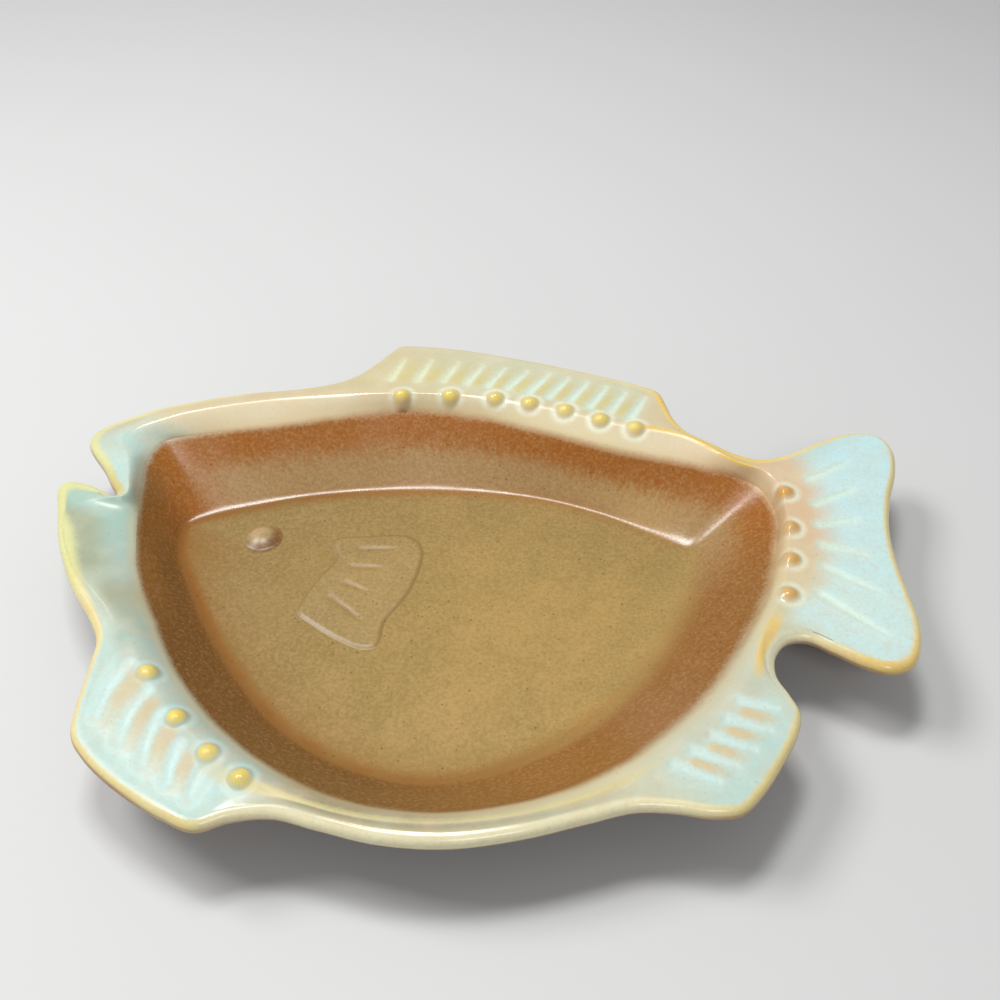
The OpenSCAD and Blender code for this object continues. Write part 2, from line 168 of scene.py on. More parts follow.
# Crest of the rim
CREST_SHARES = (
    (-0.420, 0.070), (-0.435, 0.114), (-0.457, 0.165), (-0.418, 0.222), (-0.339, 0.278),
    (-0.232, 0.322), (-0.129, 0.348), (-0.029, 0.360), (0.064, 0.351), (0.157, 0.325),
    (0.243, 0.306), (0.307, 0.252), (0.346, 0.231), (0.362, 0.165), (0.364, 0.072),
    (0.354, -0.022), (0.332, -0.102), (0.318, -0.181), (0.271, -0.270), (0.204, -0.359),
    (0.121, -0.420), (0.021, -0.455), (-0.071, -0.453), (-0.171, -0.409), (-0.268, -0.322),
    (-0.339, -0.214), (-0.425, -0.116), (-0.468, -0.003), (-0.412, 0.031),
)

MIDDLE_SHARES = (-0.036, -0.040)
EYE_SHARES = (-0.262, 0.063)

DORSAL_BEAD_SHARES = (
    (-0.129, 0.341), (-0.066, 0.354), (-0.007, 0.359), (0.039, 0.354), (0.086, 0.344),
    (0.133, 0.328), (0.178, 0.315),
)
TAIL_BEAD_SHARES = ((0.361, 0.191), (0.365, 0.113), (0.364, 0.046), (0.360, -0.024))
PELVIC_BEAD_SHARES = ((-0.283, -0.294), (-0.234, -0.357), (-0.190, -0.402), (-0.151, -0.430))

# Pressed rays, each from its root to its tip, and over its bend where it has one
DORSAL_RAY_SHARES = (
    ((-0.152, 0.384), (-0.144, 0.447)), ((-0.117, 0.388), (-0.107, 0.451)),
    ((-0.082, 0.393), (-0.070, 0.451)), ((-0.050, 0.393), (-0.036, 0.449)),
    ((-0.022, 0.390), (-0.006, 0.447)), ((0.005, 0.390), (0.025, 0.444)),
    ((0.034, 0.383), (0.055, 0.442)), ((0.061, 0.376), (0.082, 0.437)),
    ((0.089, 0.369), (0.108, 0.430)), ((0.116, 0.360), (0.134, 0.421)),
    ((0.143, 0.351), (0.160, 0.411)), ((0.170, 0.341), (0.186, 0.402)),
)
TAIL_RAY_SHARES = (
    ((0.391, 0.231), (0.438, 0.283)), ((0.396, 0.175), (0.441, 0.217)),
    ((0.398, 0.128), (0.443, 0.151)), ((0.400, 0.083), (0.445, 0.076)),
    ((0.400, 0.039), (0.457, 0.004)), ((0.393, -0.017), (0.459, -0.074)),
)
ANAL_RAY_SHARES = (
    ((0.307, -0.221), (0.343, -0.224)), ((0.295, -0.252), (0.336, -0.259)),
    ((0.280, -0.281), (0.321, -0.291)), ((0.263, -0.307), (0.304, -0.319)),
    ((0.245, -0.331), (0.287, -0.344)),
)
PELVIC_RAY_SHARES = (
    ((-0.306, -0.284), (-0.315, -0.322), (-0.314, -0.367)),
    ((-0.275, -0.323), (-0.282, -0.354), (-0.281, -0.401)),
    ((-0.252, -0.356), (-0.254, -0.387), (-0.249, -0.428)),
    ((-0.221, -0.395), (-0.221, -0.420), (-0.217, -0.447)),
    ((-0.190, -0.428), (-0.192, -0.443), (-0.191, -0.464)),
)
PECTORAL_SHARES = (
    (-0.172, 0.074), (-0.132, 0.090), (-0.089, 0.100), (-0.072, 0.090), (-0.062, 0.064),
    (-0.066, -0.017), (-0.084, -0.082), (-0.083, -0.108), (-0.085, -0.127), (-0.100, -0.133),
    (-0.131, -0.120), (-0.161, -0.100), (-0.183, -0.080), (-0.182, -0.054), (-0.171, -0.003),
    (-0.160, 0.038),
)
PECTORAL_RAY_SHARES = (
    ((-0.136, 0.059), (-0.096, 0.071)), ((-0.140, 0.020), (-0.106, 0.027)),
    ((-0.141, -0.015), (-0.114, -0.026)), ((-0.152, -0.048), (-0.110, -0.082)),
)

# Rays of each fin, the strength of the webs between them and the stretch of a ray that a
# web spans
FANS = (
    (DORSAL_RAY_SHARES, 0.9, (0.05, 0.85)), (TAIL_RAY_SHARES, 0, (0, 1)),
    (ANAL_RAY_SHARES, 1.0, (0.3, 0.95)), (PELVIC_RAY_SHARES, 1.0, (0.08, 0.9)),
)
BEAD_ROWS = (DORSAL_BEAD_SHARES, TAIL_BEAD_SHARES, PELVIC_BEAD_SHARES)

# Spacing of the stations along the outline in millimetres
STATION_ZONES = (
    ("root", "spacing"),
    (0.9, 0.5), (1.6, 1.0), (4.8, 1.2), (5.3, 0.55), (9.6, 0.55), (10.2, 1.2), (11.4, 1.0),
    (11.9, 0.75), (15.2, 0.75), (15.6, 0.9), (16.7, 0.8), (17.1, 0.55), (18.6, 0.55),
    (19.2, 1.2), (22.2, 1.0), (22.7, 0.6), (24.9, 0.6), (25.3, 1.2), (26.8, 1.0), (27.2, 0.5),
)

# Glaze colours as they look on the dish, from 0 to 255
TINTS = {
    "turquoise": (160, 192, 180),
    "aqua": (182, 210, 202),
    "ice": (196, 224, 220),
    "sky": (190, 224, 226),
    "mint": (204, 228, 214),
    "foam": (216, 222, 186),
    # Glaze with painted shade, for the jaw's flange
    "shaded_sage": (156, 165, 140),
    "teal_grey": (166, 188, 178),
    "pearl": (186, 196, 178),
    "stone": (198, 198, 168),
    "milk": (224, 228, 204),
    "oat": (200, 188, 146),
    "fawn": (192, 176, 134),
    # Painted highlight on the rounded edges of the notch and the belly
    "highlight_ivory": (232, 224, 184),
    "cream": (208, 192, 154),
    "blush": (212, 182, 146),
    # Glaze with painted shade, for the belly's shoulder
    "shaded_grey_sand": (152, 145, 116),
    "lime": (214, 214, 150),
    "lemon": (230, 206, 86),
    "straw": (226, 208, 142),
    "honey": (228, 192, 96),
    "amber": (208, 154, 60),
    "olive": (202, 190, 122),
    "sand": (206, 184, 138),
    "sienna": (168, 122, 80),
    "khaki": (160, 133, 75),
    "ochre": (171, 139, 78),
    "moss": (138, 113, 66),
    "toast": (160, 126, 80),
    "tan": (174, 140, 88),
    "rust": (152, 90, 20),
    "burnt": (136, 84, 20),
    "chestnut": (140, 92, 36),
    "umber": (114, 75, 28),
}

# Colours of marks in the glazes, of the underside, the clay and the ground, as light values
MARKS = {
    "speck": (0.03, 0.015, 0.006, 1),
    "pale_dust": (0.50, 0.42, 0.26, 1),
    "brown_dust": (0.60, 0.42, 0.22, 1),
    "pit": (0.10, 0.05, 0.018, 1),
    "dark_brown": (0.055, 0.022, 0.009, 1),
    "red_brown": (0.13, 0.055, 0.02, 1),
    "light_brown": (0.40, 0.23, 0.10, 1),
    "clay": (0.50, 0.38, 0.25, 1),
    "pale_clay": (0.60, 0.48, 0.33, 1),
    "grog": (0.34, 0.24, 0.15, 1),
    "iron": (0.10, 0.06, 0.035, 1),
    "dark_ground": (0.60, 0.60, 0.59, 1),
    "pale_ground": (0.64, 0.64, 0.63, 1),
}

# Rim by root, below a row of column names. inner is the colour by the glaze line, which
# reaches inner_reach millimetres past the crest, and edge_width the width of the edge's
# colour in millimetres. crest_share and side tell how far the crest's colour and the brown at
# the side of the edge break through. turn is how tight the shoulder turns at the crest, and
# matt how matt it is, as far as matt_reach millimetres past the crest.
RIM_ZONES = (
    ("root", "inner", "flange", "edge", "edge_width", "crest", "crest_share", "inner_reach",
     "side", "turn", "matt", "matt_reach"),
    (0.0, "aqua", "aqua", "olive", 2.6, "cream", 0.2, 2, 0.9, 1.6, 0.2, -0.5),
    (1.0, "aqua", "aqua", "lime", 3.2, "cream", 0.2, 2, 0.9, 1.5, 0.3, -0.5),
    (2.1, "aqua", "pearl", "lime", 3.8, "cream", 0.3, 6, 0.9, 1.3, 0.7, -0.5),
    (3.2, "cream", "fawn", "straw", 2.6, "cream", 0.5, 8, 0.7, 1.2, 1.0, -0.5),
    (4.6, "cream", "fawn", "sand", 2.6, "cream", 0.6, 8, 0.7, 1.22, 1.0, -0.7),
    (5.6, "cream", "oat", "cream", 2.0, "cream", 0.4, 5, 0.6, 1.32, 1.0, -1.2),
    (7.4, "oat", "stone", "cream", 2.0, "cream", 0.3, 4, 0.6, 1.32, 1.0, -1.2),
    (9.0, "oat", "stone", "straw", 3.0, "cream", 0.4, 4, 0.6, 1.25, 1.0, -1.0),
    (9.5, "cream", "cream", "honey", 4.6, "honey", 0.8, 2, 0.6, 1.15, 1.0, -0.8),
    (11.2, "blush", "sand", "honey", 4.2, "honey", 0.8, 2, 0.6, 1.2, 1.0, -0.5),
    (11.9, "blush", "aqua", "straw", 4.4, "blush", 0.5, 22, 0.4, 1.5, 0.7, -0.5),
    (12.7, "blush", "sky", "straw", 1.8, "blush", 0.4, 22, 0.3, 1.6, 0.3, -0.5),
    (13.6, "blush", "sky", "straw", 2.0, "blush", 0.4, 22, 0.3, 1.6, 0.3, -0.5),
    (14.6, "cream", "ice", "straw", 2.4, "sand", 0.3, 16, 0.5, 1.6, 0.3, -0.5),
    (15.2, "stone", "ice", "honey", 2.8, "stone", 0.2, 8, 0.6, 1.6, 0.3, -0.5),
    # At the notch the pale edge colour is a painted highlight on the rounded edge
    (15.7, "stone", "stone", "highlight_ivory", 0.7, "honey", 1.0, 6, 0.6, 1.6, 0.3, -0.5),
    (16.5, "pearl", "stone", "highlight_ivory", 0.9, "honey", 1.0, 6, 0.6, 1.6, 0.3, -0.5),
    (17.2, "pearl", "aqua", "straw", 2.4, "stone", 0.1, 8, 0.7, 1.7, 0.3, -0.5),
    (18.3, "pearl", "aqua", "straw", 2.0, "stone", 0.2, 8, 0.8, 1.7, 0.3, 0.5),
    # At the belly the pale edge colour is a painted highlight on the rounded edge
    (19.1, "stone", "stone", "highlight_ivory", 2.6, "olive", 0.8, 6, 0.4, 1.7, 0.8, 2.5),
    # At the belly the grey inner colour is painted shade on the shoulder, which faces away from
    # the camera
    (21.0, "shaded_grey_sand", "oat", "highlight_ivory", 2.0, "olive", 0.5, 6, 0.3, 1.7, 1.0, 2.5),
    (22.3, "shaded_grey_sand", "stone", "highlight_ivory", 1.8, "olive", 0.7, 6, 0.5, 1.7, 0.8, 2.0),
    (22.8, "teal_grey", "aqua", "straw", 1.8, "olive", 0.7, 8, 0.7, 1.7, 0.6, 1.0),
    (23.3, "teal_grey", "aqua", "straw", 1.8, "stone", 0.2, 8, 0.9, 1.7, 0.3, -0.5),
    (24.6, "teal_grey", "aqua", "straw", 1.6, "stone", 0.1, 8, 0.8, 1.7, 0.2, -0.5),
    # On the jaw the grey-green colour is painted shade on the glaze where the flange slopes away
    (25.4, "shaded_sage", "pearl", "straw", 2.6, "stone", 0.3, 2, 0.4, 1.7, 0.2, -0.5),
    (26.0, "teal_grey", "shaded_sage", "lime", 5.6, "shaded_sage", 0.1, -5, 0.1, 1.7, 0.2, -0.5),
    (26.8, "turquoise", "shaded_sage", "lime", 7.0, "shaded_sage", 0.1, -6, 0.1, 1.7, 0.2, -0.5),
    (27.1, "turquoise", "turquoise", "lime", 7.0, "turquoise", 0.1, -3, 0.2, 1.7, 0.2, -0.5),
    (27.6, "turquoise", "turquoise", "lime", 4.4, "olive", 0.2, 2, 0.5, 1.6, 0.2, -0.5),
    (28.3, "turquoise", "aqua", "olive", 3.4, "ice", 0.1, 2, 0.9, 1.6, 0.2, -0.5),
)

# Values along the roots, as two rows: how far in millimetres the crest's thin band leans
# outwards, how mottled the blue glaze is, and how matt the edge is
LEAN = ((14.8, 15.7, 16.9, 17.6, 22.0, 22.5, 22.8, 23.2, 24.0),
        (0, 1.3, 1.3, 0, 0, 1.6, 3.2, 3.6, 0))
MOTTLED = ((10.8, 11.4, 14.4, 15.0, 24.8, 25.6, 28.0), (1, 0.7, 0.7, 1, 1, 0.35, 0.35))
DULL_EDGE = ((22.9, 23.2, 25.0, 25.4), (0, 0.9, 0.9, 0))

# Tints of the glaze pooled in the rays and of the webs, by fin, and of the beads and the
# halos round them, by row of beads
POOL_TINTS = ("mint", "mint", "ice", "ice")
WEB_TINTS = ("olive", "olive", "sand", "fawn")
BEAD_TINTS = ("lemon", "amber", "lemon")
HALO_TINTS = ("milk", "milk", "aqua")

# Well by root, below a row of column names. band is the colour where the floor bends up,
# band_share its strength and band_reach how far it reaches over the floor. floor_reach is how
# far the floor's colour runs up the wall, and overrun how far the brown runs past the glaze
# line. These three are in millimetres. softness is that of the bend as a share of the wall's
# run, and spray_width how wide the spray at the glaze line is.
WALL_ZONES = (
    ("root", "band", "band_share", "lower", "upper", "softness", "floor_reach", "spray_width",
     "band_reach", "overrun"),
    (0.0, "burnt", 1.0, "rust", "chestnut", 0.09, 2, 0.9, 3.5, 0),
    (1.6, "burnt", 1.0, "rust", "rust", 0.07, 2, 0.9, 3.5, 0),
    (2.8, "burnt", 0.95, "toast", "rust", 0.06, 2, 1.0, 3.5, 0.4),
    (4.2, "burnt", 0.9, "toast", "rust", 0.06, 2, 1.0, 3.5, 0.7),
    (6.0, "rust", 0.6, "toast", "rust", 0.06, 2, 1.0, 3.0, 1.0),
    (8.0, "rust", 0.5, "toast", "rust", 0.06, 2, 1.0, 2.5, 1.6),
    (9.8, "rust", 0.35, "tan", "rust", 0.10, 2, 1.0, 2.5, 2.2),
    (11.4, "rust", 0.4, "toast", "rust", 0.15, 3, 1.0, 2.5, 0.8),
    (12.6, "ochre", 0.3, "toast", "rust", 0.14, 9, 1.1, 2, 0),
    (14.5, "ochre", 0.1, "chestnut", "chestnut", 0.30, 21, 1.8, 2, 1.8),
    (17.5, "rust", 0.3, "chestnut", "chestnut", 0.26, 14, 1.8, 3, 2.6),
    (19.5, "burnt", 0.7, "chestnut", "chestnut", 0.16, 5, 1.4, 5, 4.3),
    # The near wall's umber is the brown glaze with painted shade, where the wall faces away from
    # the camera
    (21.5, "burnt", 0.85, "umber", "umber", 0.12, 3, 1.1, 5, 1.6),
    (23.0, "burnt", 0.95, "umber", "umber", 0.12, 3, 0.9, 4.5, 0.8),
    (24.8, "burnt", 1.0, "umber", "umber", 0.12, 3, 0.8, 3.5, 0.3),
    (26.2, "burnt", 1.0, "umber", "chestnut", 0.12, 3, 0.8, 3.5, 0),
    (27.4, "burnt", 1.0, "chestnut", "chestnut", 0.12, 3, 0.9, 3.5, 0),
)


def length_property(name, description, default, low=0.0):
    """Setting for a length, in metres."""
    return bpy.props.FloatProperty(name=name, description=description, default=default,
                                   min=low, unit="LENGTH", subtype="DISTANCE")


def share_property(name, description, default):
    """Setting for a share from 0 to 1."""
    return bpy.props.FloatProperty(name=name, description=description, default=default,
                                   min=0, max=1, subtype="FACTOR")


class FISHPLATTER_PG_sizes(bpy.types.PropertyGroup):
    """Sizes of the dish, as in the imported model."""
    length: length_property("Length", "From the lips to the tail lobes", 0.280, 0.2)
    depth: length_property("Depth", "From the dorsal fin to the pelvic fin", 0.214, 0.15)
    crest_height: length_property(
        "Crest", "Height of the rim's crest above the table", 0.028, 0.015)
    line_height: length_property(
        "Glaze line", "Height at which the brown and the blue glaze meet", 0.0225, 0.01)
    floor_height: length_property(
        "Floor", "Height of the floor of the well above the table", 0.007, 0.004)
    floor_thickness: length_property(
        "Floor thickness", "Thickness of the clay under the floor", 0.0046, 0.003)
    wall_thickness: length_property(
        "Wall thickness", "Thickness of the wall, measured straight down", 0.0074, 0.004)
    rim_thickness: length_property(
        "Rim thickness", "Thickness of the rim under its crest", 0.0058, 0.003)
    edge_thickness: length_property(
        "Edge thickness", "Thickness of the rounded edge", 0.005, 0.002)
    edge_drop: length_property(
        "Edge drop", "Drop of the top from the crest to the edge", 0.0008)
    foot_height: length_property(
        "Foot height", "Height at which the wall meets the foot ring", 0.0026, 0.001)
    foot_width: length_property("Foot width", "Width of the foot ring", 0.006, 0.002)
    glaze: length_property("Glaze", "Thickness of each coat of glaze", 0.0006, 0.0003)


class FISHPLATTER_PG_relief(bpy.types.PropertyGroup):
    """Sizes of the beads, rays, eye and pectoral fin."""
    bead_radius: length_property(
        "Bead radius", "Radius of a bead where it meets the rim", 0.0033, 0.001)
    bead_rise: length_property(
        "Bead rise", "Height of a bead above the rim", 0.0017, 0.0005)
    eye_radius: length_property("Eye radius", "Radius of the eye at the floor", 0.0058, 0.002)
    eye_rise: length_property("Eye rise", "Height of the eye above the floor", 0.002, 0.0005)
    fin_rise: length_property(
        "Fin rise", "Height of the pectoral fin above the floor", 0.00055, 0.0003)
    ray_radius: length_property(
        "Ray root", "Half width of a pressed ray at its root", 0.0016, 0.0005)
    ray_tip_radius: length_property(
        "Ray tip", "Half width of a pressed ray at its tip", 0.0009, 0.0004)
    ray_depth: length_property("Ray depth", "Depth of a pressed ray", 0.0005, 0.0002)
    web_rise: length_property(
        "Web rise", "Height of the web between two rays above the flange", 0.00012)


class FISHPLATTER_PG_finish(bpy.types.PropertyGroup):
    """Finish of the glazes."""
    gain: bpy.props.FloatProperty(
        name="Gain", description="Brightness of the glaze colours",
        default=1.0, min=0.2, max=2)
    gloss: share_property("Roughness", "Roughness of the glaze", 0.15)
    grit: share_property("Grit", "Extra roughness of the brown glaze", 0.05)
    ripple: share_property("Ripple", "Strength of the ripple in the glaze", 0.5)
    specks: share_property("Specks", "Strength of the dark specks", 0.45)


# Curves

def span_point(p0, p1, p2, p3, s, least=0.0):
    """Point at share s of the way from p1 to p2, on a curve through four points.

    The span is a cubic whose end slopes follow from the four points, with knots at the
    square roots of their distances. A least distance keeps equal points apart.
    """
    d0, d1, d2 = (np.sqrt(np.linalg.norm(b - a, axis=-1) + least)[..., None]
                  for a, b in ((p0, p1), (p1, p2), (p2, p3)))
    m1 = p2 - p1 + d1 * ((p1 - p0) / d0 - (p2 - p0) / (d0 + d1))
    m2 = p2 - p1 + d1 * ((p3 - p2) / d2 - (p3 - p1) / (d1 + d2))
    return ((2 * s ** 3 - 3 * s ** 2 + 1) * p1 + (s ** 3 - 2 * s ** 2 + s) * m1
            + (3 * s ** 2 - 2 * s ** 3) * p2 + (s ** 3 - s ** 2) * m2)


def closed_curve(points, t):
    """Points of a closed curve through the given points, at the numbers t."""
    first = np.floor(t).astype(int)
    near = (points[(first + k) % len(points)] for k in (-1, 0, 1, 2))
    return span_point(*near, (t - first)[:, None])


def blurred(values, sigma):
    """Closed row of values, blurred by a bell curve sigma samples wide."""
    turns = np.fft.fftfreq(len(values))
    bell = np.exp(-2 * (math.pi * turns * sigma) ** 2)
    bell = bell.reshape((-1,) + (1,) * (values.ndim - 1))
    return np.fft.ifft(np.fft.fft(values, axis=0) * bell, axis=0).real


def eased(values, low, high):
    """Smooth step from 0 at low to 1 at high."""
    s = np.clip((values - low) / (high - low), 0, 1)
    return s * s * (3 - 2 * s)


def soft_top(a, b, width):
    """Larger of a and b, rounded over where they cross."""
    return (a + b + np.sqrt((a - b) ** 2 + width ** 2)) / 2


def light_of(key):
    """Tint from the table as light values from 0 to 1."""
    c = np.array(TINTS[key], dtype=float) / 255
    return np.where(c <= 0.04045, c / 12.92, ((c + 0.055) / 1.055) ** 2.4)


def by_root(zones, column, root):
    """Values of one column of a zone table at the roots, straight between its rows.

    The first row names the columns. A name in a row further down stands for its tint.
    """
    names, *rows = zones
    roots = [row[0] for row in rows]
    values = [row[names.index(column)] for row in rows]
    if not isinstance(values[0], str):
        return np.interp(root, roots, values, period=len(FLOOR_SHARES))
    lights = np.array([light_of(value) for value in values])
    return np.stack([np.interp(root, roots, light, period=len(FLOOR_SHARES))
                     for light in lights.T], -1)


class Plan:
    """Stations round the dish with their points on the four curves, seen from above."""

    def __init__(self, sizes):
        self.scale = np.array([sizes.length, sizes.depth])
        outline = np.array(OUTLINE_SHARES)
        points = outline[:, :2] * self.scale
        spans, turns = len(outline), len(FLOOR_SHARES)

        # Even steps along the outline, with their roots
        t = np.linspace(0, spans, 90 * spans, endpoint=False)
        raw = closed_curve(points, t)
        arc = np.append(0, np.cumsum(np.linalg.norm(np.roll(raw, -1, 0) - raw, axis=1)))
        count = 4096
        spacing = arc[-1] / count
        even = np.arange(count) * spacing
        t_even = np.interp(even, arc, np.append(t, spans))
        outer = closed_curve(points, t_even)
        roots = np.append(outline[:, 2], outline[0, 2] + turns)
        root = np.interp(t_even, np.arange(spans + 1), roots)
        drift = turns * even / arc[-1]
        root = drift + blurred(root - drift, 3 * MM / spacing)
        along = np.roll(outer, -1, 0) - np.roll(outer, 1, 0)
        inward = np.stack([along[:, 1], -along[:, 0]], 1)
        inward /= np.linalg.norm(inward, axis=1)[:, None]
        inward = blurred(inward, 1.6 * MM / spacing)

        # Inner curves, rounded more at the corner of the well by the tail
        floor, line, crest = (closed_curve(np.array(shares) * self.scale, root)
                              for shares in (FLOOR_SHARES, LINE_SHARES, CREST_SHARES))
        corner = np.exp(-((root - 12) / 0.8) ** 2)[:, None]
        floor, line = (curve + (blurred(curve, 10 * MM / spacing) - curve) * corner
                       for curve in (floor, line))

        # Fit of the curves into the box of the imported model
        low, high = outer.min(0), outer.max(0)
        want_low, want_high = np.array(cad_low[:2]), np.array(cad_high[:2])
        self.fit = (want_high - want_low) / (high - low)
        self.shift = want_low - low * self.fit

        # Stations, closer together where the outline is busy
        density = blurred(1 / by_root(STATION_ZONES, "spacing", root), 3 * MM / spacing)
        total = np.append(0, np.cumsum(density))
        picks = np.interp(np.arange(STATIONS) * total[-1] / STATIONS, total, np.arange(count + 1))

        def picked(values):
            closed = np.concatenate([values, values[:1]])
            first = np.floor(picks).astype(int)
            part = (picks - first).reshape((-1,) + (1,) * (values.ndim - 1))
            return closed[first] * (1 - part) + closed[first + 1] * part

        self.root = picked(root)
        self.inward = picked(inward)
        self.outer, self.floor, self.line, self.crest = (
            picked(curve) * self.fit + self.shift for curve in (outer, floor, line, crest))
        self.middle = self.placed(MIDDLE_SHARES)
        self.hub = np.broadcast_to(self.middle, self.floor.shape)

    def placed(self, shares):
        """Points given as shares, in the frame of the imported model."""
        return np.array(shares) * self.scale * self.fit + self.shift

    def edge(self, inset):
        """Outline drawn in by an inset, by less where the rim is narrow."""
        room = np.linalg.norm(self.crest - self.outer, axis=1) / 2
        return self.outer + np.minimum(inset, room)[:, None] * self.inward

    def on_wall(self, shares):
        """Rings at shares of the wall's run, from the edge of the floor to the glaze line."""
        return mixed(self.floor, self.line, shares)


def mixed(a, b, shares):
    """Rings between two rings of points, one for each share."""
    shares = np.asarray(shares).reshape((-1,) + (1,) * a.ndim)
    return a + (b - a) * shares


def raised(points, height):
    """Rings of flat points with their heights, as points in space."""
    height = np.broadcast_to(height, points.shape[:-1])
    return np.concatenate([points, height[..., None]], -1)


# Surfaces of the dish

def wall_height(sizes, plan, w):
    """Heights of the wall at shares w of its run, one row for each share.

    The wall is a straight slope that bends softly into the level floor: half the sum of w
    and the square root of w squared plus the softness squared, scaled so that it meets the
    glaze line.
    """
    soft = by_root(WALL_ZONES, "softness", plan.root)
    w = np.asarray(w)[:, None]
    bend = (w + np.sqrt(w ** 2 + soft ** 2)) / 2
    top = (1 + np.sqrt(1 + soft ** 2)) / 2
    rise = sizes.line_height - sizes.floor_height
    level = eased(w, -0.9, -0.1)
    return sizes.floor_height + rise * level * bend / top


def shoulder_height(sizes, plan, v):
    """Heights of the shoulder at shares v from the glaze line to the crest.

    The height falls short of the crest by 1 - v to the power of the zone's turn, which is
    tighter at the crest the nearer it is to 1. A second term, v times 1 - v to the power of
    4, makes the shoulder leave the line with the wall's slope.
    """
    run = np.linalg.norm(plan.crest - plan.line, axis=1)
    wall_run = np.linalg.norm(plan.line - plan.floor, axis=1)
    v = np.asarray(v)[:, None]
    rise = sizes.crest_height - sizes.line_height
    turn = by_root(RIM_ZONES, "turn", plan.root)
    below = wall_height(sizes, plan, [0.98, 1.0])
    slope = (below[1] - below[0]) / (0.02 * wall_run)
    lead = np.minimum(slope * run / rise, 2.6)
    return sizes.line_height + rise * (
        1 - (1 - v) ** turn + (lead - turn) * v * (1 - v) ** 4)


def edge_of(sizes):
    """Radius of the rounded edge and height of its top."""
    return sizes.edge_thickness / 2, sizes.crest_height - sizes.edge_drop


def segment_reach(points, ends, radii):
    """Distance of points from a segment, as a share of a radius that tapers along it.

    Also gives how far along the segment the nearest place lies, from 0 to 1.
    """
    a, b = (np.array(end) for end in ends)
    along = b - a
    s = np.clip(((points - a) @ along) / (along @ along), 0, 1)
    far = np.linalg.norm(points - a - s[..., None] * along, axis=-1)
    return far / (radii[0] + (radii[1] - radii[0]) * s), s


def route_reach(points, route, radii):
    """Distance of points from a bent line, as a share of a radius that tapers along it.

    Also gives how far along the line the nearest place lies, from 0 to 1.
    """
    spans = len(route) - 1
    widths = np.linspace(*radii, spans + 1)
    best, place = segment_reach(points, route[:2], widths[:2])
    place = place / spans
    for k in range(1, spans):
        reach, s = segment_reach(points, route[k:k + 2], widths[k:k + 2])
        place = np.where(reach < best, (k + s) / spans, place)
        best = np.minimum(reach, best)
    return best, place


def part_of(route, stretch):
    """Middle part of a bent line, between two shares of its length."""
    marks = np.linspace(0, 1, len(route))
    picks = np.linspace(*stretch, len(route))
    return np.stack([np.interp(picks, marks, route[:, k]) for k in (0, 1)], -1)


def rays_and_webs(plan, relief, points, fans):
    """Masks from 0 to 1 of the pressed rays, the glaze pooled in them, their field and the webs.

    fans holds the rays of each fin, the strength of the webs between them and the stretch
    of a ray that a web spans. The last result is the number of the fin nearest to a point.
    """
    shape = points.shape[:-1]
    rays, pools, field, webs = (np.zeros(shape) for _ in range(4))
    owner, nearest = np.zeros(shape, dtype=int), np.full(shape, np.inf)
    radii = (relief.ray_radius, relief.ray_tip_radius)
    for number, (fan, strength, stretch) in enumerate(fans):
        fan = plan.placed(fan)
        for route in fan:
            reach, s = route_reach(points, route, radii)
            fade = 1 - 0.45 * eased(s, 0.6, 1.0)
            rays = np.maximum(rays, (1 - eased(reach, 0.0, 1.6)) * fade)
            pools = np.maximum(pools, (1 - eased(reach, 0.5, 2.1)) * fade)
            field = np.maximum(field, 1 - eased(reach, 1.8, 5.0))
            owner = np.where(reach < nearest, number, owner)
            nearest = np.minimum(reach, nearest)
        if not strength:
            continue
        for first, second in zip(fan, fan[1:]):
            middle = part_of((first + second) / 2, stretch)
            width = np.linalg.norm(first - second, axis=1).mean() / 2 - 0.55 * radii[0]
            reach, s = route_reach(points, middle, (width, width * 0.9))
            web = (1 - eased(reach, 0.1, 1.3)) * (1 - 0.4 * eased(s, 0.4, 1.0))
            webs = np.maximum(webs, strength * web)
    return rays, pools, field, webs, owner


def nearest_bead(plan, points, rows):
    """Distance of points from the middle of the nearest bead, and the number of its row."""
    far = np.full(points.shape[:-1], np.inf)
    owner = np.zeros(points.shape[:-1], dtype=int)
    for number, row in enumerate(rows):
        for centre in plan.placed(row):
            reach = np.linalg.norm(points - centre, axis=-1)
            owner = np.where(reach < far, number, owner)
            far = np.minimum(far, reach)
    return far, owner


# Meshes

def linked(name, data):
    """New object in the scene."""
    item = bpy.data.objects.new(name, data)
    bpy.context.scene.collection.objects.link(item)
    return item


def add_layers(mesh, layers):
    """Stores each layer on the mesh's points, numbers as they are and colours with alpha."""
    for name, values in layers.items():
        if values.ndim == 1:
            layer = mesh.attributes.new(name, "FLOAT", "POINT")
            layer.data.foreach_set("value", values.astype(np.float32))
        else:
            layer = mesh.attributes.new(name, "FLOAT_COLOR", "POINT")
            colours = np.concatenate([values, np.ones((len(values), 1))], -1)
            layer.data.foreach_set("color", colours.astype(np.float32).ravel())


def mesh_piece(name, points, faces, layers, material, folds=None):
    """Object with smooth faces.

    folds holds a number for each point, and an edge between two points of the same number
    above 0 is sharp. Without folds, an edge is sharp where its faces turn by 50 degrees.
    """
    mesh = bpy.data.meshes.new(name)
    mesh.from_pydata(points.tolist(), [], faces)
    mesh.update()
    if mesh.validate():
        raise RuntimeError(name + " has faces that Blender refuses")
    add_layers(mesh, layers)
    mesh.polygons.foreach_set("use_smooth", np.ones(len(mesh.polygons), dtype=bool))
    if folds is None:
        mesh.set_sharp_from_angle(angle=math.radians(50))
    else:
        ends = np.empty(2 * len(mesh.edges), dtype=np.int32)
        mesh.edges.foreach_get("vertices", ends)
        first, second = folds[ends[0::2]], folds[ends[1::2]]
        sharp = mesh.attributes.new("sharp_edge", "BOOLEAN", "EDGE")
        sharp.data.foreach_set("value", (first == second) & (first > 0))
    mesh.materials.append(material)
    return linked(name, mesh)


def faces_of(*corners):
    """Faces with one corner from each row of point numbers."""
    return np.stack(corners, 1).tolist()


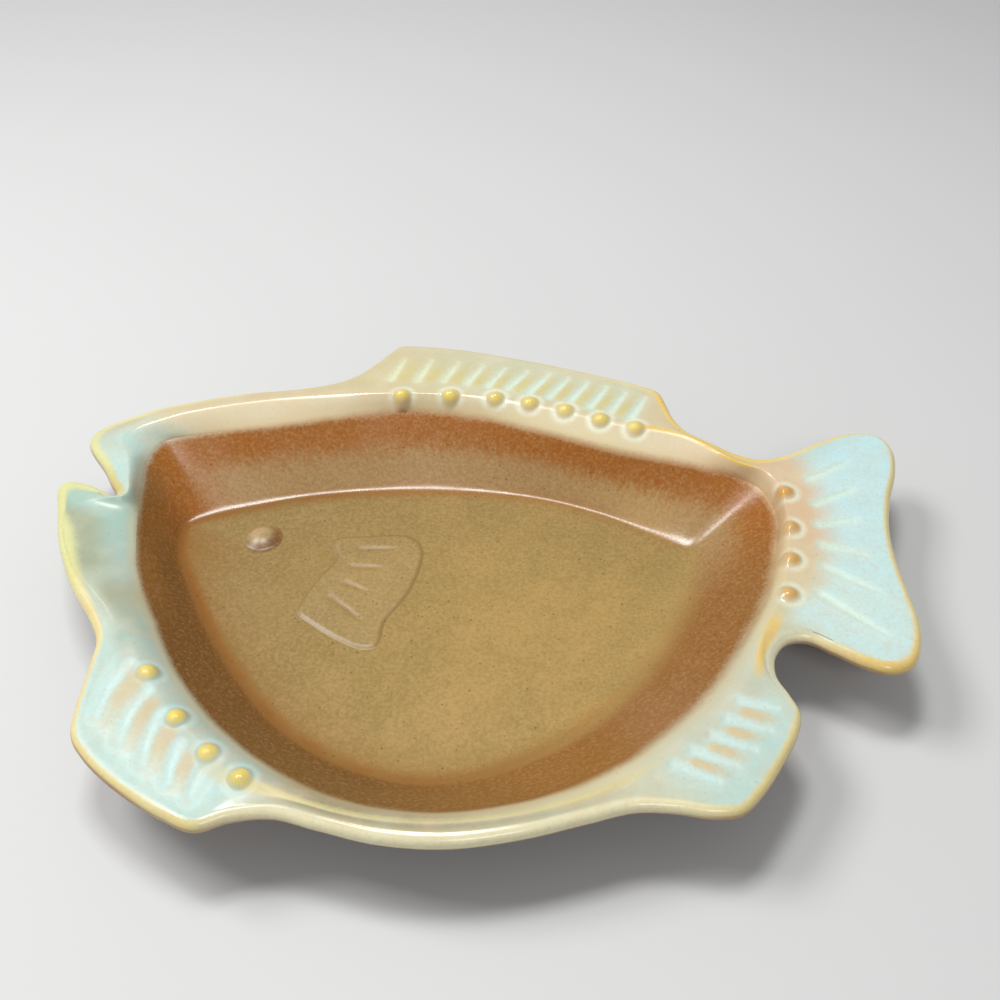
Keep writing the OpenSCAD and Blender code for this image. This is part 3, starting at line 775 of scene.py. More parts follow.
def ring_faces(a, b):
    """Faces between two rings of point numbers, of which one may have half the stations."""
    if len(a) == len(b):
        return faces_of(a, np.roll(a, -1), np.roll(b, -1), b)
    full, half = (b, a) if len(a) < len(b) else (a, b)
    first, second, third = full[0::2], full[1::2], np.roll(full, -1)[1::2]
    onward = np.roll(half, -1)
    faces = (faces_of(half, second, first) + faces_of(half, onward, second)
             + faces_of(onward, third, second))
    return faces if full is b else [face[::-1] for face in faces]


def loft(name, rings, layers, material, steps=None, poles=None, folds=()):
    """Closed piece from rings of stations.

    rings holds points as ring, station, axis, and each layer one value or colour for each
    of them. A ring keeps every station whose number its step divides, and neighbouring
    steps differ by a factor of 1 or 2. With poles, the first and the last ring close at a
    point, and otherwise the last ring joins the first. The rings numbered in folds are
    sharp along their length.
    """
    count, stations = rings.shape[:2]
    start = 1 if poles is not None else 0
    numbers, keep = [], []
    for r, step in enumerate(steps or [1] * count):
        kept = np.arange(0, stations, step)
        numbers.append(start + np.arange(len(kept)))
        keep.append(r * stations + kept)
        start += len(kept)
    keep = np.concatenate(keep)
    points = rings.reshape(-1, 3)[keep]
    marks = np.zeros(count, dtype=int)
    marks[list(folds)] = np.arange(1, len(folds) + 1)
    marks = marks[keep // stations]
    values = {key: layer.reshape((-1,) + layer.shape[2:])[keep] for key, layer in layers.items()}
    pairs = list(zip(numbers, numbers[1:]))
    if poles is None:
        pairs.append((numbers[-1], numbers[0]))
    faces = [face for a, b in pairs for face in ring_faces(a, b)]
    if poles is not None:
        first, last = numbers[0], numbers[-1]
        faces += faces_of(np.zeros_like(first), np.roll(first, -1), first)
        faces += faces_of(last, np.roll(last, -1), np.full_like(last, len(points) + 1))
        points = np.concatenate([[poles[0]], points, [poles[1]]])
        marks = np.concatenate([[0], marks, [0]])
        for key, layer in layers.items():
            ends = layer[0].mean(0), layer[-1].mean(0)
            values[key] = np.concatenate([ends[0][None], values[key], ends[1][None]])
    return mesh_piece(name, points, faces, values, material, marks if folds else None)


# Shader parts

def put(tree, kind, inputs=None, **settings):
    """Adds a node, with its settings, values and links."""
    node = tree.nodes.new(kind)
    for key, value in settings.items():
        setattr(node, key, value)
    for key, value in (inputs or {}).items():
        if isinstance(value, bpy.types.NodeSocket):
            tree.links.new(value, node.inputs[key])
        else:
            node.inputs[key].default_value = value
    return node


def maths(tree, operation, a, b, c=0.0):
    """Result of a maths node on two or three values or links."""
    return put(tree, "ShaderNodeMath", {0: a, 1: b, 2: c}, operation=operation).outputs[0]


def scaled(tree, value, factor, start=0.0):
    """Value times a factor, plus a start."""
    return maths(tree, "MULTIPLY_ADD", value, factor, start)


def ranged(tree, value, low, high, to_low=0.0, to_high=1.0):
    """Value from low to high, as a smooth step from to_low to to_high."""
    return put(tree, "ShaderNodeMapRange", {
        "Value": value, "From Min": low, "From Max": high, "To Min": to_low, "To Max": to_high,
    }, interpolation_type="SMOOTHSTEP").outputs["Result"]


def paint(colour):
    """Colour for a node's input, given as a link or as the name of a mark or tint."""
    if not isinstance(colour, str):
        return colour
    return MARKS[colour] if colour in MARKS else (*light_of(colour), 1)


def blend(tree, factor, a, b):
    """Colour a, mixed with colour b by a factor."""
    a, b = paint(a), paint(b)
    return put(tree, "ShaderNodeMix", {0: factor, 6: a, 7: b}, data_type="RGBA").outputs[2]


def noise(tree, vector, scale, detail=2.0, roughness=0.5):
    """Noise from 0 to 1 with a scale in turns a metre."""
    return put(tree, "ShaderNodeTexNoise", {
        "Vector": vector, "Scale": scale, "Detail": detail, "Roughness": roughness,
    }).outputs["Fac"]


def layer(tree, name):
    """Numbers that the mesh stores on its points, 0 where it has none of that name."""
    return put(tree, "ShaderNodeAttribute", attribute_name=name).outputs["Fac"]


def tint_layer(tree, name):
    """Colours that the mesh stores on its points."""
    return put(tree, "ShaderNodeAttribute", attribute_name=name + "_tint").outputs["Color"]


def node_group(name, inputs, outputs):
    """New group with its sockets, as the tree, its input node and its output node."""
    tree = bpy.data.node_groups.new(name, "ShaderNodeTree")
    for way, sockets in (("INPUT", inputs), ("OUTPUT", outputs)):
        for key, kind in sockets:
            tree.interface.new_socket(key, in_out=way, socket_type="NodeSocket" + kind)
    return tree, tree.nodes.new("NodeGroupInput"), tree.nodes.new("NodeGroupOutput")


def glaze_grain():
    """Group with the patterns that all glazes share.

    Cloud is broad and soft, Mottle is smaller, Grain is fine, Speck marks small dark spots,
    and Height is the ripple of the surface, in metres.
    """
    if "Glaze Grain" in bpy.data.node_groups:
        return bpy.data.node_groups["Glaze Grain"]
    tree, _, out = node_group("Glaze Grain", (), (
        (key, "Float") for key in ("Cloud", "Mottle", "Grain", "Speck", "Height")))
    place = put(tree, "ShaderNodeTexCoord").outputs["Object"]
    cells = put(tree, "ShaderNodeTexVoronoi", {"Vector": place, "Scale": 700.0,
                                               "Randomness": 1.0})
    chance = put(tree, "ShaderNodeSeparateColor", {0: cells.outputs["Color"]}).outputs[0]
    size = ranged(tree, chance, 0.78, 1.0, 0.0, 0.30)
    speck = maths(tree, "SUBTRACT", size, cells.outputs["Distance"])
    ripple, wave = noise(tree, place, 420, 2, 0.5), noise(tree, place, 60, 1, 0.5)
    for key, value in (
            ("Cloud", noise(tree, place, 70, 3, 0.55)),
            ("Mottle", noise(tree, place, 170, 4, 0.6)),
            ("Grain", noise(tree, place, 900, 2, 0.6)),
            ("Speck", ranged(tree, speck, -0.02, 0.1)),
            ("Height", scaled(tree, ripple, 0.00003, scaled(tree, wave, 0.00012)))):
        tree.links.new(value, out.inputs[key])
    return tree


def glaze_line():
    """Group that lays the sprayed change from brown through cream to blue over its gap.

    Gap is the distance from the glaze line in millimetres, above it and negative below.
    """
    if "Glaze Line" in bpy.data.node_groups:
        return bpy.data.node_groups["Glaze Line"]
    tree, inp, out = node_group("Glaze Line", (
        ("Gap", "Float"), ("Cloud", "Float"), ("Grain", "Float"), ("Wall", "Color"),
        ("Cream", "Color"), ("Rim", "Color")), (("Color", "Color"),))
    get = inp.outputs
    drift = scaled(tree, get["Grain"], 1.3, scaled(tree, get["Cloud"], 2.4, -1.85))
    gap = maths(tree, "ADD", get["Gap"], drift)
    lower = blend(tree, ranged(tree, gap, -2.8, 2.0), get["Wall"], get["Cream"])
    whole = blend(tree, ranged(tree, gap, 0.6, 5.6), lower, get["Rim"])
    tree.links.new(whole, out.inputs["Color"])
    return tree


def grouped(tree, group, inputs=None):
    """Outputs of a shared group, placed in a material."""
    node = tree.nodes.new("ShaderNodeGroup")
    node.node_tree = group
    for key, value in (inputs or {}).items():
        tree.links.new(value, node.inputs[key])
    return {socket.name: socket for socket in node.outputs}


def new_material(name):
    """Material with a Principled shader, as the material, its tree and the shader."""
    material = bpy.data.materials.new(name)
    material.use_nodes = True
    tree = material.node_tree
    tree.nodes.clear()
    shader = tree.nodes.new("ShaderNodeBsdfPrincipled")
    out = tree.nodes.new("ShaderNodeOutputMaterial")
    tree.links.new(shader.outputs[0], out.inputs[0])
    return material, tree, shader


def bumped(tree, shader, strength, height):
    """Joins a bump to the shader, with its height in metres."""
    bump = put(tree, "ShaderNodeBump", {"Strength": strength, "Distance": 1.0, "Height": height})
    tree.links.new(bump.outputs[0], shader.inputs["Normal"])


def glazed(tree, shader, finish, colour, grain, grit=0.0, specks=1.0):
    """Adds specks, gloss and ripple to a glaze and joins them to the shader.

    grit is added to the roughness and pits the surface with the fine grain. The matt layer
    is added to the roughness alone.
    """
    marks = scaled(tree, grain["Speck"], finish.specks * specks)
    tree.links.new(blend(tree, marks, colour, "speck"), shader.inputs["Base Color"])
    gloss = finish.gloss + grit
    rough = ranged(tree, grain["Cloud"], 0.3, 0.7, gloss, gloss + 0.08)
    rough = scaled(tree, layer(tree, "matt"), MATT_GAIN, rough)
    tree.links.new(rough, shader.inputs["Roughness"])
    height = scaled(tree, grain["Grain"], 0.00001 + 0.0007 * grit, grain["Height"])
    bumped(tree, shader, finish.ripple, height)
    shader.inputs["IOR"].default_value = 1.52


def sprayed(tree, grain, wall, rim):
    """Colours of the wall and the rim, joined by the spray at the glaze line."""
    return grouped(tree, glaze_line(), {
        "Gap": layer(tree, "gap"), "Cloud": grain["Cloud"], "Grain": grain["Grain"],
        "Wall": wall, "Cream": tint_layer(tree, "cream"), "Rim": rim})["Color"]


def rim_material(finish):
    """Pale blue glaze that breaks to yellow and cream where it runs thin."""
    material, tree, shader = new_material("aqua_glaze_finish")
    grain = grouped(tree, glaze_grain())
    ragged = scaled(tree, grain["Grain"], 0.5, scaled(tree, grain["Cloud"], 0.5, -0.5))
    # The thin colours hold a painted highlight on the edges of the notch and the belly
    thin = ranged(tree, scaled(tree, ragged, 0.7, layer(tree, "thin")), 0.12, 0.88)
    colour = blend(tree, thin, tint_layer(tree, "coat"), tint_layer(tree, "thin"))
    mottle = scaled(tree, ranged(tree, grain["Mottle"], 0.36, 0.8, 0.0, 0.45),
                    layer(tree, "mottled"))
    colour = blend(tree, mottle, colour, "blush")
    colour = blend(tree, ranged(tree, grain["Cloud"], 0.4, 0.75, 0.0, 0.18), colour, "milk")
    colour = blend(tree, ranged(tree, grain["Grain"], 0.35, 0.75, 0.0, 0.22), colour, "pale_dust")
    colour = sprayed(tree, grain, tint_layer(tree, "wall"), colour)
    glazed(tree, shader, finish, colour, grain, specks=0.25)
    return material


def well_material(finish):
    """Brown glaze with a speckled floor, rusty where it bends up and darker on the wall."""
    material, tree, shader = new_material("brown_glaze_finish")
    grain = grouped(tree, glaze_grain())
    floor = blend(tree, ranged(tree, grain["Cloud"], 0.35, 0.7), "khaki", "ochre")
    floor = blend(tree, layer(tree, "shade"), floor, "moss")
    streaks = put(tree, "ShaderNodeCombineXYZ", {
        0: layer(tree, "along"), 1: scaled(tree, layer(tree, "gap"), 0.35)}).outputs[0]
    runs = scaled(tree, noise(tree, streaks, 0.55, 3, 0.6), 1.0, -0.5)
    upper = ranged(tree, maths(tree, "ADD", layer(tree, "upper"), runs), 0.1, 0.9)
    wall = blend(tree, upper, tint_layer(tree, "low"), tint_layer(tree, "wall"))
    ragged = maths(tree, "ADD", layer(tree, "wall"), scaled(tree, grain["Grain"], 0.5, -0.25))
    colour = blend(tree, ranged(tree, ragged, 0.15, 0.85), floor, wall)
    patches = ranged(tree, maths(tree, "ADD", grain["Cloud"], grain["Grain"]),
                     0.6, 1.1, 0.55, 1.0)
    band = layer(tree, "band")
    colour = blend(tree, scaled(tree, band, patches), colour, tint_layer(tree, "band"))
    dust = scaled(tree, ranged(tree, grain["Grain"], 0.42, 0.8, 0.0, 0.22),
                  scaled(tree, band, -0.7, 1.0))
    colour = blend(tree, dust, colour, "brown_dust")
    colour = blend(tree, ranged(tree, grain["Grain"], 0.2, 0.55, 0.22, 0.0), colour, "pit")
    colour = sprayed(tree, grain, colour, tint_layer(tree, "coat"))
    glazed(tree, shader, finish, colour, grain, finish.grit)
    return material


def underside_material(finish):
    """Dark brown glaze with lighter clouds, lighter too where it is thin."""
    material, tree, shader = new_material("dark_brown_glaze_finish")
    grain = grouped(tree, glaze_grain())
    colour = blend(tree, ranged(tree, grain["Cloud"], 0.3, 0.7), "dark_brown", "red_brown")
    ragged = maths(tree, "ADD", layer(tree, "thin"), scaled(tree, grain["Grain"], 0.6, -0.3))
    colour = blend(tree, ranged(tree, ragged, 0.2, 0.8), colour, "light_brown")
    glazed(tree, shader, finish, colour, grain)
    return material


def clay_material():
    """Bare buff stoneware with grog."""
    material, tree, shader = new_material("bare_stoneware_finish")
    grain = grouped(tree, glaze_grain())
    colour = blend(tree, ranged(tree, grain["Cloud"], 0.3, 0.7), "clay", "pale_clay")
    colour = blend(tree, ranged(tree, grain["Grain"], 0.4, 0.8, 0.0, 0.5), colour, "grog")
    colour = blend(tree, scaled(tree, grain["Speck"], 0.7), colour, "iron")
    tree.links.new(colour, shader.inputs["Base Color"])
    tree.links.new(ranged(tree, grain["Grain"], 0.2, 0.8, 0.78, 0.95),
                   shader.inputs["Roughness"])
    bumped(tree, shader, 0.5, scaled(tree, grain["Grain"], 0.0001))
    return material


# Layers of the pieces

def lit(keys, finish):
    """Tints by name as light values, with the finish's gain."""
    return np.clip(np.array([light_of(key) for key in keys]) * finish.gain, 0, 1)


def ring_tint(zones, column, plan, finish, rows):
    """One row of colours round the dish, repeated for a number of rings."""
    colours = np.clip(by_root(zones, column, plan.root) * finish.gain, 0, 1)
    return np.broadcast_to(colours, (rows,) + colours.shape)


def cream_tint(plan, finish, rows):
    """Colour between the brown and the blue, halfway to the rim's own colour."""
    colours = (light_of("sand") + by_root(RIM_ZONES, "inner", plan.root)) / 2 * finish.gain
    return np.broadcast_to(np.clip(colours, 0, 1), (rows,) + colours.shape)


def toward(a, b, share):
    """Colours a, moved towards colours b by a share."""
    return a + (b - a) * share[..., None]


def surface_gap(rings, line_row):
    """Distance along the surface from the line, in millimetres, for rings in order."""
    steps = np.linalg.norm(np.diff(rings, axis=0), axis=-1)
    far = np.concatenate([np.zeros_like(steps[:1]), np.cumsum(steps, axis=0)])
    return (far - far[line_row]) / MM


def with_back(values, rows):
    """Values of the rings of the top, with the last one repeated for those of the back."""
    return np.concatenate([values, np.repeat(values[-1:], rows, 0)])


def spray_gap(gap, plan):
    """Distance from the middle of the spray, as a share of the zone's width of spray."""
    past = by_root(WALL_ZONES, "overrun", plan.root)
    return (gap - past) / by_root(WALL_ZONES, "spray_width", plan.root)


def floor_shade(points):
    """How far the floor darkens towards moss, from 0 to 1, more towards the head and towards the
    back.
    """
    head = 1 - eased(points[..., 0], -0.085, 0.02)
    back = eased(points[..., 1], -0.01, 0.05)
    return 1 - (1 - 0.75 * head) * (1 - 0.5 * back)


def floor_layers(points):
    """Layers of a piece that lies on the level floor of the well."""
    shape = points.shape[:-1]
    layers = {key: np.zeros(shape) for key in ("band", "wall", "upper", "along", "matt")}
    layers["shade"] = floor_shade(points)
    layers["gap"] = np.full(shape, -30.0)
    for key in ("low_tint", "wall_tint", "band_tint", "cream_tint", "coat_tint"):
        layers[key] = np.zeros(shape + (3,))
    return layers


# Pieces

def rim_rings(sizes, plan):
    """Rings of the blue coat's top: shoulder, flange and rounded edge.

    The flange falls from the crest to the edge as a smooth step. Also gives the numbers of
    the flange's first ring, which lies on the crest, and of the edge's first ring.
    """
    radius, height = edge_of(sizes)
    v = (1 - (1 - np.linspace(0, 1, 19)) ** 1.9)[:-1]
    u = (np.exp(0.7 * np.linspace(0, 1, 41)) - 1) / (math.exp(0.7) - 1)
    turn = np.linspace(0, math.pi, 15)[1:]
    start = plan.edge(radius)
    fall = sizes.edge_drop * eased(u, 0, 1)
    shoulder = raised(mixed(plan.line, plan.crest, v), shoulder_height(sizes, plan, v))
    flange = raised(mixed(plan.crest, start, u), sizes.crest_height - fall[:, None])
    edge = raised(mixed(start, plan.outer, np.sin(turn)),
                  (height - radius + radius * np.cos(turn))[:, None])
    return np.concatenate([shoulder, flange, edge]), len(v), len(v) + len(u)


def thin_glaze(plan, relief, finish, gaps, marks, rows_out):
    """Where the blue glaze runs thin, from 0 to 1, and the colours that it breaks to there.

    gaps holds the distances from the crest and from the edge, marks the masks of rays and
    webs with the number of the fin, the distance from a bead and the number of its row, and
    rows_out counts the rings from the edge's first one. On the rounded edges of the notch and
    the belly, the edge's pale colour is a painted highlight.
    """
    crest_gap, edge_gap = gaps
    rays, webs, fin, far, row = marks
    lean = np.interp(plan.root, *LEAN)
    width, crest_share, side = (by_root(RIM_ZONES, column, plan.root)
                                for column in ("edge_width", "crest_share", "side"))
    wide = 1 + 0.35 * lean
    first = 7.0 - 4.5 * side
    masks = (
        1 - eased(edge_gap, 0.35 * width + 1.2, 1.5 * width + 2.2),
        (1 - eased(np.abs(crest_gap - lean), 0.4 * wide, 2.4 * wide)) * crest_share,
        0.75 * webs * (1 - rays),
        1 - eased(far, 0.35 * relief.bead_radius, 1.2 * relief.bead_radius),
        4 * side * eased(rows_out[:, None], first, first + 2.5))
    edge, crest = (ring_tint(RIM_ZONES, column, plan, finish, len(rays))
                   for column in ("edge", "crest"))
    tints = (edge, crest, lit(WEB_TINTS, finish)[fin], lit(BEAD_TINTS, finish)[row],
             lit(["sienna"], finish)[0])
    weights = np.stack(masks) ** 2 + 1e-6
    tint = sum(w[..., None] * c for w, c in zip(weights, tints)) / weights.sum(0)[..., None]
    return np.clip(np.maximum.reduce(masks), 0, 1), tint


def build_rim(sizes, relief, finish):
    """Blue coat: shoulder, flange and rounded edge, with beads and pressed rays.

    A bead adds its rise times the square of 1 minus the squared share of its radius. A ray
    takes its depth times its mask from the height, and a web adds its rise times its mask.
    """
    plan = Plan(sizes)
    top, crest_row, edge_row = rim_rings(sizes, plan)
    rays, pools, field, webs, fin = rays_and_webs(plan, relief, top[..., :2], FANS)
    far, row = nearest_bead(plan, top[..., :2], BEAD_ROWS)
    radius = relief.bead_radius
    skirt = BEAD_SKIRT * radius
    height = top[..., 2] - relief.ray_depth * rays + relief.web_rise * webs * (1 - rays)
    seat = (sizes.crest_height - height) / 2 * (1 - eased(far, 0.5 * radius, 1.1 * radius))
    dome = relief.bead_rise * (1 - np.minimum(far / skirt, 1) ** 2) ** 2
    lifted = np.minimum(height + seat + dome, sizes.crest_height + relief.bead_rise)
    over = (np.arange(len(top)) < edge_row)[:, None] & (far < skirt)
    top[..., 2] = np.where(over, lifted, height)
    edge_radius, edge_height = edge_of(sizes)
    back = np.stack([
        raised(plan.edge(edge_radius), edge_height - edge_radius),
        raised(plan.crest, sizes.crest_height - COAT_BACK),
        raised(plan.line, sizes.line_height - COAT_BACK)])
    rings = np.concatenate([top, back])

    rays, pools, field, webs, fin, row = (
        np.concatenate([values, np.zeros_like(values[:3])])
        for values in (rays, pools, field, webs, fin, row))
    far = np.concatenate([far, np.ones_like(far[:3])])
    gap = with_back(surface_gap(top, 0), len(back))
    crest = gap[crest_row]
    edge_gap = np.abs(gap - gap[edge_row + 6])
    past, dull, dull_reach = (by_root(RIM_ZONES, column, plan.root)
                              for column in ("inner_reach", "matt", "matt_reach"))
    begin = np.minimum(0.3 * past, past - 5 + 1.2 * np.minimum(past, 0))
    out = eased(gap, crest + begin, crest + past)
    halo = eased(far, 0.9 * radius, 1.2 * radius) * (1 - eased(far, skirt, 1.9 * radius))
    inner, flange = (ring_tint(RIM_ZONES, column, plan, finish, len(rings))
                     for column in ("inner", "flange"))
    creamy = (fin == 0) * (1 - eased(plan.root, 6.0, 8.2))
    pool_tint = toward(lit(POOL_TINTS, finish)[fin], lit(["foam"], finish)[0], creamy)
    coat = toward(toward(inner, flange, out), pool_tint, 0.8 * pools)
    coat = toward(coat, lit(HALO_TINTS, finish)[row], 0.75 * halo)
    thin, thin_tint = thin_glaze(plan, relief, finish, (gap - crest, edge_gap),
                                 (rays, webs, fin, far, row), np.arange(len(rings)) - edge_row)
    dull_end = crest + dull_reach
    matt = np.maximum.reduce([
        (1 - eased(gap, dull_end - 1.1, dull_end)) * dull, field, 0.9 * halo * (row == 2),
        np.interp(plan.root, *DULL_EDGE) * (1 - eased(edge_gap, 2.5, 6.0))])
    layers = {
        "gap": spray_gap(gap, plan), "thin": thin,
        "mottled": np.clip(1.1 - 0.55 * out, 0, 1) * np.interp(plan.root, *MOTTLED),
        "matt": matt, "coat_tint": coat, "thin_tint": thin_tint,
        "wall_tint": ring_tint(WALL_ZONES, "upper", plan, finish, len(rings)),
        "cream_tint": cream_tint(plan, finish, len(rings)),
    }
    return loft("rim_glaze_coat", rings, layers, rim_material(finish),
                folds=(0, len(top) - 1, len(rings) - 1))


def build_well(sizes, finish):
    """Brown coat: level floor, soft bend and sloping wall up to the glaze line."""
    plan = Plan(sizes)
    hub = (np.linspace(0.04, 1, 14) ** 0.8)[:-1]
    w = np.concatenate([np.linspace(WALL_START, 0.3, 25), np.linspace(0.3, 1, 17)[1:]])
    wall = plan.on_wall(w)
    w_top = np.concatenate([WALL_START - 1.2 * (1 - hub), w])
    top = raised(np.concatenate([mixed(plan.hub, wall[0], hub), wall]),
                 wall_height(sizes, plan, w_top))
    heights = np.array([sizes.line_height, sizes.floor_height, sizes.floor_height])
    back = np.concatenate([
        raised(plan.on_wall([1, 0, WALL_START]), heights[:, None] - COAT_BACK),
        raised(mixed(wall[0], plan.hub, [0.2, 0.4, 0.6, 0.8, 0.95]),
               sizes.floor_height - COAT_BACK)])
    rings = np.concatenate([top, back])
    steps = ([32, 32, 16, 16, 8, 8, 4, 4, 4, 2, 2, 2, 2] + [1] * len(w)
             + [1, 1, 2, 4, 8, 16, 32, 32])

    share = with_back(w_top, len(back))[:, None]
    near = share * (np.linalg.norm(plan.line - plan.floor, axis=1) / MM)
    band_share, floor_reach, band_reach = (
        by_root(WALL_ZONES, column, plan.root)
        for column in ("band_share", "floor_reach", "band_reach"))
    band_width = np.where(near < -1.0, band_reach, 2.2)
    along = np.append(0, np.cumsum(np.linalg.norm(np.diff(plan.line, axis=0), axis=1)))

    def tint(zones, column):
        return ring_tint(zones, column, plan, finish, len(rings))

    layers = {
        "gap": spray_gap(with_back(surface_gap(top, -1), len(back)), plan),
        "band": np.exp(-((near + 1.0) / band_width) ** 2) * band_share,
        "wall": eased(near, -1.5 - floor_reach / 2, floor_reach),
        "upper": np.broadcast_to(eased(share, 0.15, 0.95), near.shape),
        "shade": floor_shade(rings),
        "along": np.broadcast_to(along / MM, near.shape),
        "low_tint": tint(WALL_ZONES, "lower"), "wall_tint": tint(WALL_ZONES, "upper"),
        "band_tint": tint(WALL_ZONES, "band"), "cream_tint": cream_tint(plan, finish, len(rings)),
        "coat_tint": tint(RIM_ZONES, "inner"),
    }
    poles = [raised(plan.middle, sizes.floor_height - drop) for drop in (0, COAT_BACK)]
    return loft("well_glaze_coat", rings, layers, well_material(finish), steps, poles,
                folds=(len(top) - 1, len(top)))


def build_eye(sizes, relief, finish):
    """Eye: a domed button that runs out into the floor."""
    plan = Plan(sizes)
    centre, radius = plan.placed(EYE_SHARES), relief.eye_radius
    reach = np.linspace(0.04, 1.5, 40) * radius
    turn = np.linspace(0, 2 * math.pi, 96, endpoint=False)
    flat = centre + reach[:, None, None] * np.stack([np.cos(turn), -np.sin(turn)], -1)
    dome = relief.eye_rise * (1 - (reach / radius) ** 2)
    height = soft_top(dome, 0, 0.5 * MM) - DIP
    height -= DIP * eased(reach, 1.1 * radius, 1.4 * radius)
    height = np.minimum(height, relief.eye_rise)
    rings = np.concatenate([
        raised(flat, sizes.floor_height + height[:, None]),
        raised(flat[[-1, 20, 0]], sizes.floor_height - RELIEF_BACK)])
    layers = floor_layers(rings)
    out = with_back(reach, 3)[:, None] / radius
    # Painted shade: an umber crescent on the far side of the dome, which faces away from the
    # camera
    shaded_side = (1 + np.cos(turn - math.radians(38))) / 2
    layers["wall"] = eased(out, 0.3, 0.8) * (1 - eased(out, 1.1, 1.4)) * shaded_side
    layers["matt"] += 0.3
    layers["low_tint"] = layers["wall_tint"] = layers["low_tint"] + lit(["umber"], finish)
    # Blush where the glaze runs thin over the dome, weaker on the far side as part of the painted
    # shade there
    layers["band"] = 0.45 * (1 - eased(out, 0.5, 1.05)) * (1 - 0.6 * shaded_side)
    layers["band_tint"] = layers["band_tint"] + lit(["blush"], finish)
    poles = [raised(centre, sizes.floor_height + rise) for rise in (height[0], -RELIEF_BACK)]
    return loft("eye_button", rings, layers, bpy.data.materials["brown_glaze_finish"],
                poles=poles)


def polygon_reach(points, corners):
    """Distance from a polygon's edge, negative inside."""
    far = np.full(points.shape[:-1], np.inf)
    inside = np.zeros(points.shape[:-1], dtype=bool)
    x, y = points[..., 0], points[..., 1]
    for a, b in zip(corners, np.roll(corners, -1, 0)):
        far = np.minimum(far, segment_reach(points, (a, b), (1.0, 1.0))[0])
        at = a[0] + (y - a[1]) * (b[0] - a[0]) / (b[1] - a[1] + 1e-12)
        inside ^= ((a[1] > y) != (b[1] > y)) & (x < at)
    return np.where(inside, -far, far)


def build_fin(sizes, relief, finish):
    """Pectoral fin: a low plateau with four pressed rays that runs out into the floor."""
    plan = Plan(sizes)
    corners = closed_curve(plan.placed(PECTORAL_SHARES),
                           np.arange(0, len(PECTORAL_SHARES), 0.25))
    low, high = corners.min(0) - FIN_MARGIN, corners.max(0) + FIN_MARGIN
    across, down = (np.linspace(low[k], high[k], int((high[k] - low[k]) / FIN_PITCH))
                    for k in (0, 1))
    points = np.stack(np.meshgrid(across, down), -1)
    reach = polygon_reach(points, corners)
    rays = rays_and_webs(plan, relief, points, ((PECTORAL_RAY_SHARES, 0, (0, 1)),))[0]
    height = relief.fin_rise * (1 - eased(reach, -1.1 * MM, 1.2 * MM))
    height = height - 0.7 * relief.ray_depth * rays - DIP
    height -= DIP * eased(reach, 1.5 * MM, 3.0 * MM)
    top = raised(points, sizes.floor_height + height).reshape(-1, 3)
    numbers = np.arange(len(top)).reshape(points.shape[:2])
    border = np.concatenate([
        numbers[0, :-1], numbers[:-1, -1], numbers[-1, :0:-1], numbers[:0:-1, 0]])
    skirt = raised(top[border, :2], sizes.floor_height - RELIEF_BACK)
    below = len(top) + np.arange(len(border))
    onward = np.roll(below, -1)
    centre = raised((low + high) / 2, sizes.floor_height - RELIEF_BACK)
    everything = np.concatenate([top, skirt, [centre]])
    faces = faces_of(*(part.ravel() for part in (
        numbers[:-1, :-1], numbers[:-1, 1:], numbers[1:, 1:], numbers[1:, :-1])))
    faces += faces_of(border, below, onward, np.roll(border, -1))
    faces += faces_of(onward, below, np.full_like(below, len(everything) - 1))
    layers = floor_layers(everything)
    # Umber round the fin's foot and in its rays: glaze pooled there, darkened further as painted
    # shade along their edges
    foot = np.exp(-((reach - 0.3 * MM) / (0.8 * MM)) ** 2)
    layers["wall"][:len(top)] = np.maximum(0.46 * foot, 0.38 * rays).ravel()
    layers["matt"][:len(top)] = 0.5
    layers["low_tint"] = layers["wall_tint"] = layers["low_tint"] + lit(["umber"], finish)
    return mesh_piece("pectoral_fin", everything, faces, layers,
                      bpy.data.materials["brown_glaze_finish"])


def profile_rings(keys, steps):
    """Rings on a smooth profile through the key rings, some steps in each span."""
    keys = np.concatenate([2 * keys[:1] - keys[1:2], keys, 2 * keys[-1:] - keys[-2:-1]])
    rings = [span_point(*keys[k:k + 4], s, least=1e-9)
             for k in range(len(keys) - 3) for s in np.arange(steps) / steps]
    return np.stack(rings + [keys[-2]])


def underside_keys(sizes, plan, lift):
    """Key rings of the underside from the edge to the foot ring, raised by lift."""
    edge_radius, edge_height = edge_of(sizes)
    under_line = sizes.line_height - sizes.wall_thickness
    haunch, foot = plan.on_wall([(FOOT_SHARE + 1) / 2, FOOT_SHARE])
    return np.stack([raised(ring, height + lift) for ring, height in (
        (plan.edge(edge_radius), edge_height - sizes.edge_thickness),
        (plan.crest, sizes.crest_height - sizes.rim_thickness),
        (plan.line, under_line),
        (haunch, (sizes.foot_height + under_line) / 2),
        (foot, sizes.foot_height))])


def build_underside(sizes, finish):
    """Dark brown coat under the rim and down the outside of the wall."""
    plan = Plan(sizes)
    down = profile_rings(underside_keys(sizes, plan, 0), 6)
    rings = np.concatenate([down, underside_keys(sizes, plan, COAT_BACK)[::-1]])
    rows = np.arange(len(rings))
    foot = eased(rows, len(down) - 3, len(down) - 1)
    thin = 0.8 * (1 - eased(rows, 0, 3)) + 0.5 * foot
    thin = np.broadcast_to(thin[:, None], rings.shape[:2])
    return loft("underside_glaze_coat", rings[:, ::2], {"thin": thin[:, ::2]},
                underside_material(finish), folds=(0, len(down) - 1, len(down), len(rings) - 1))


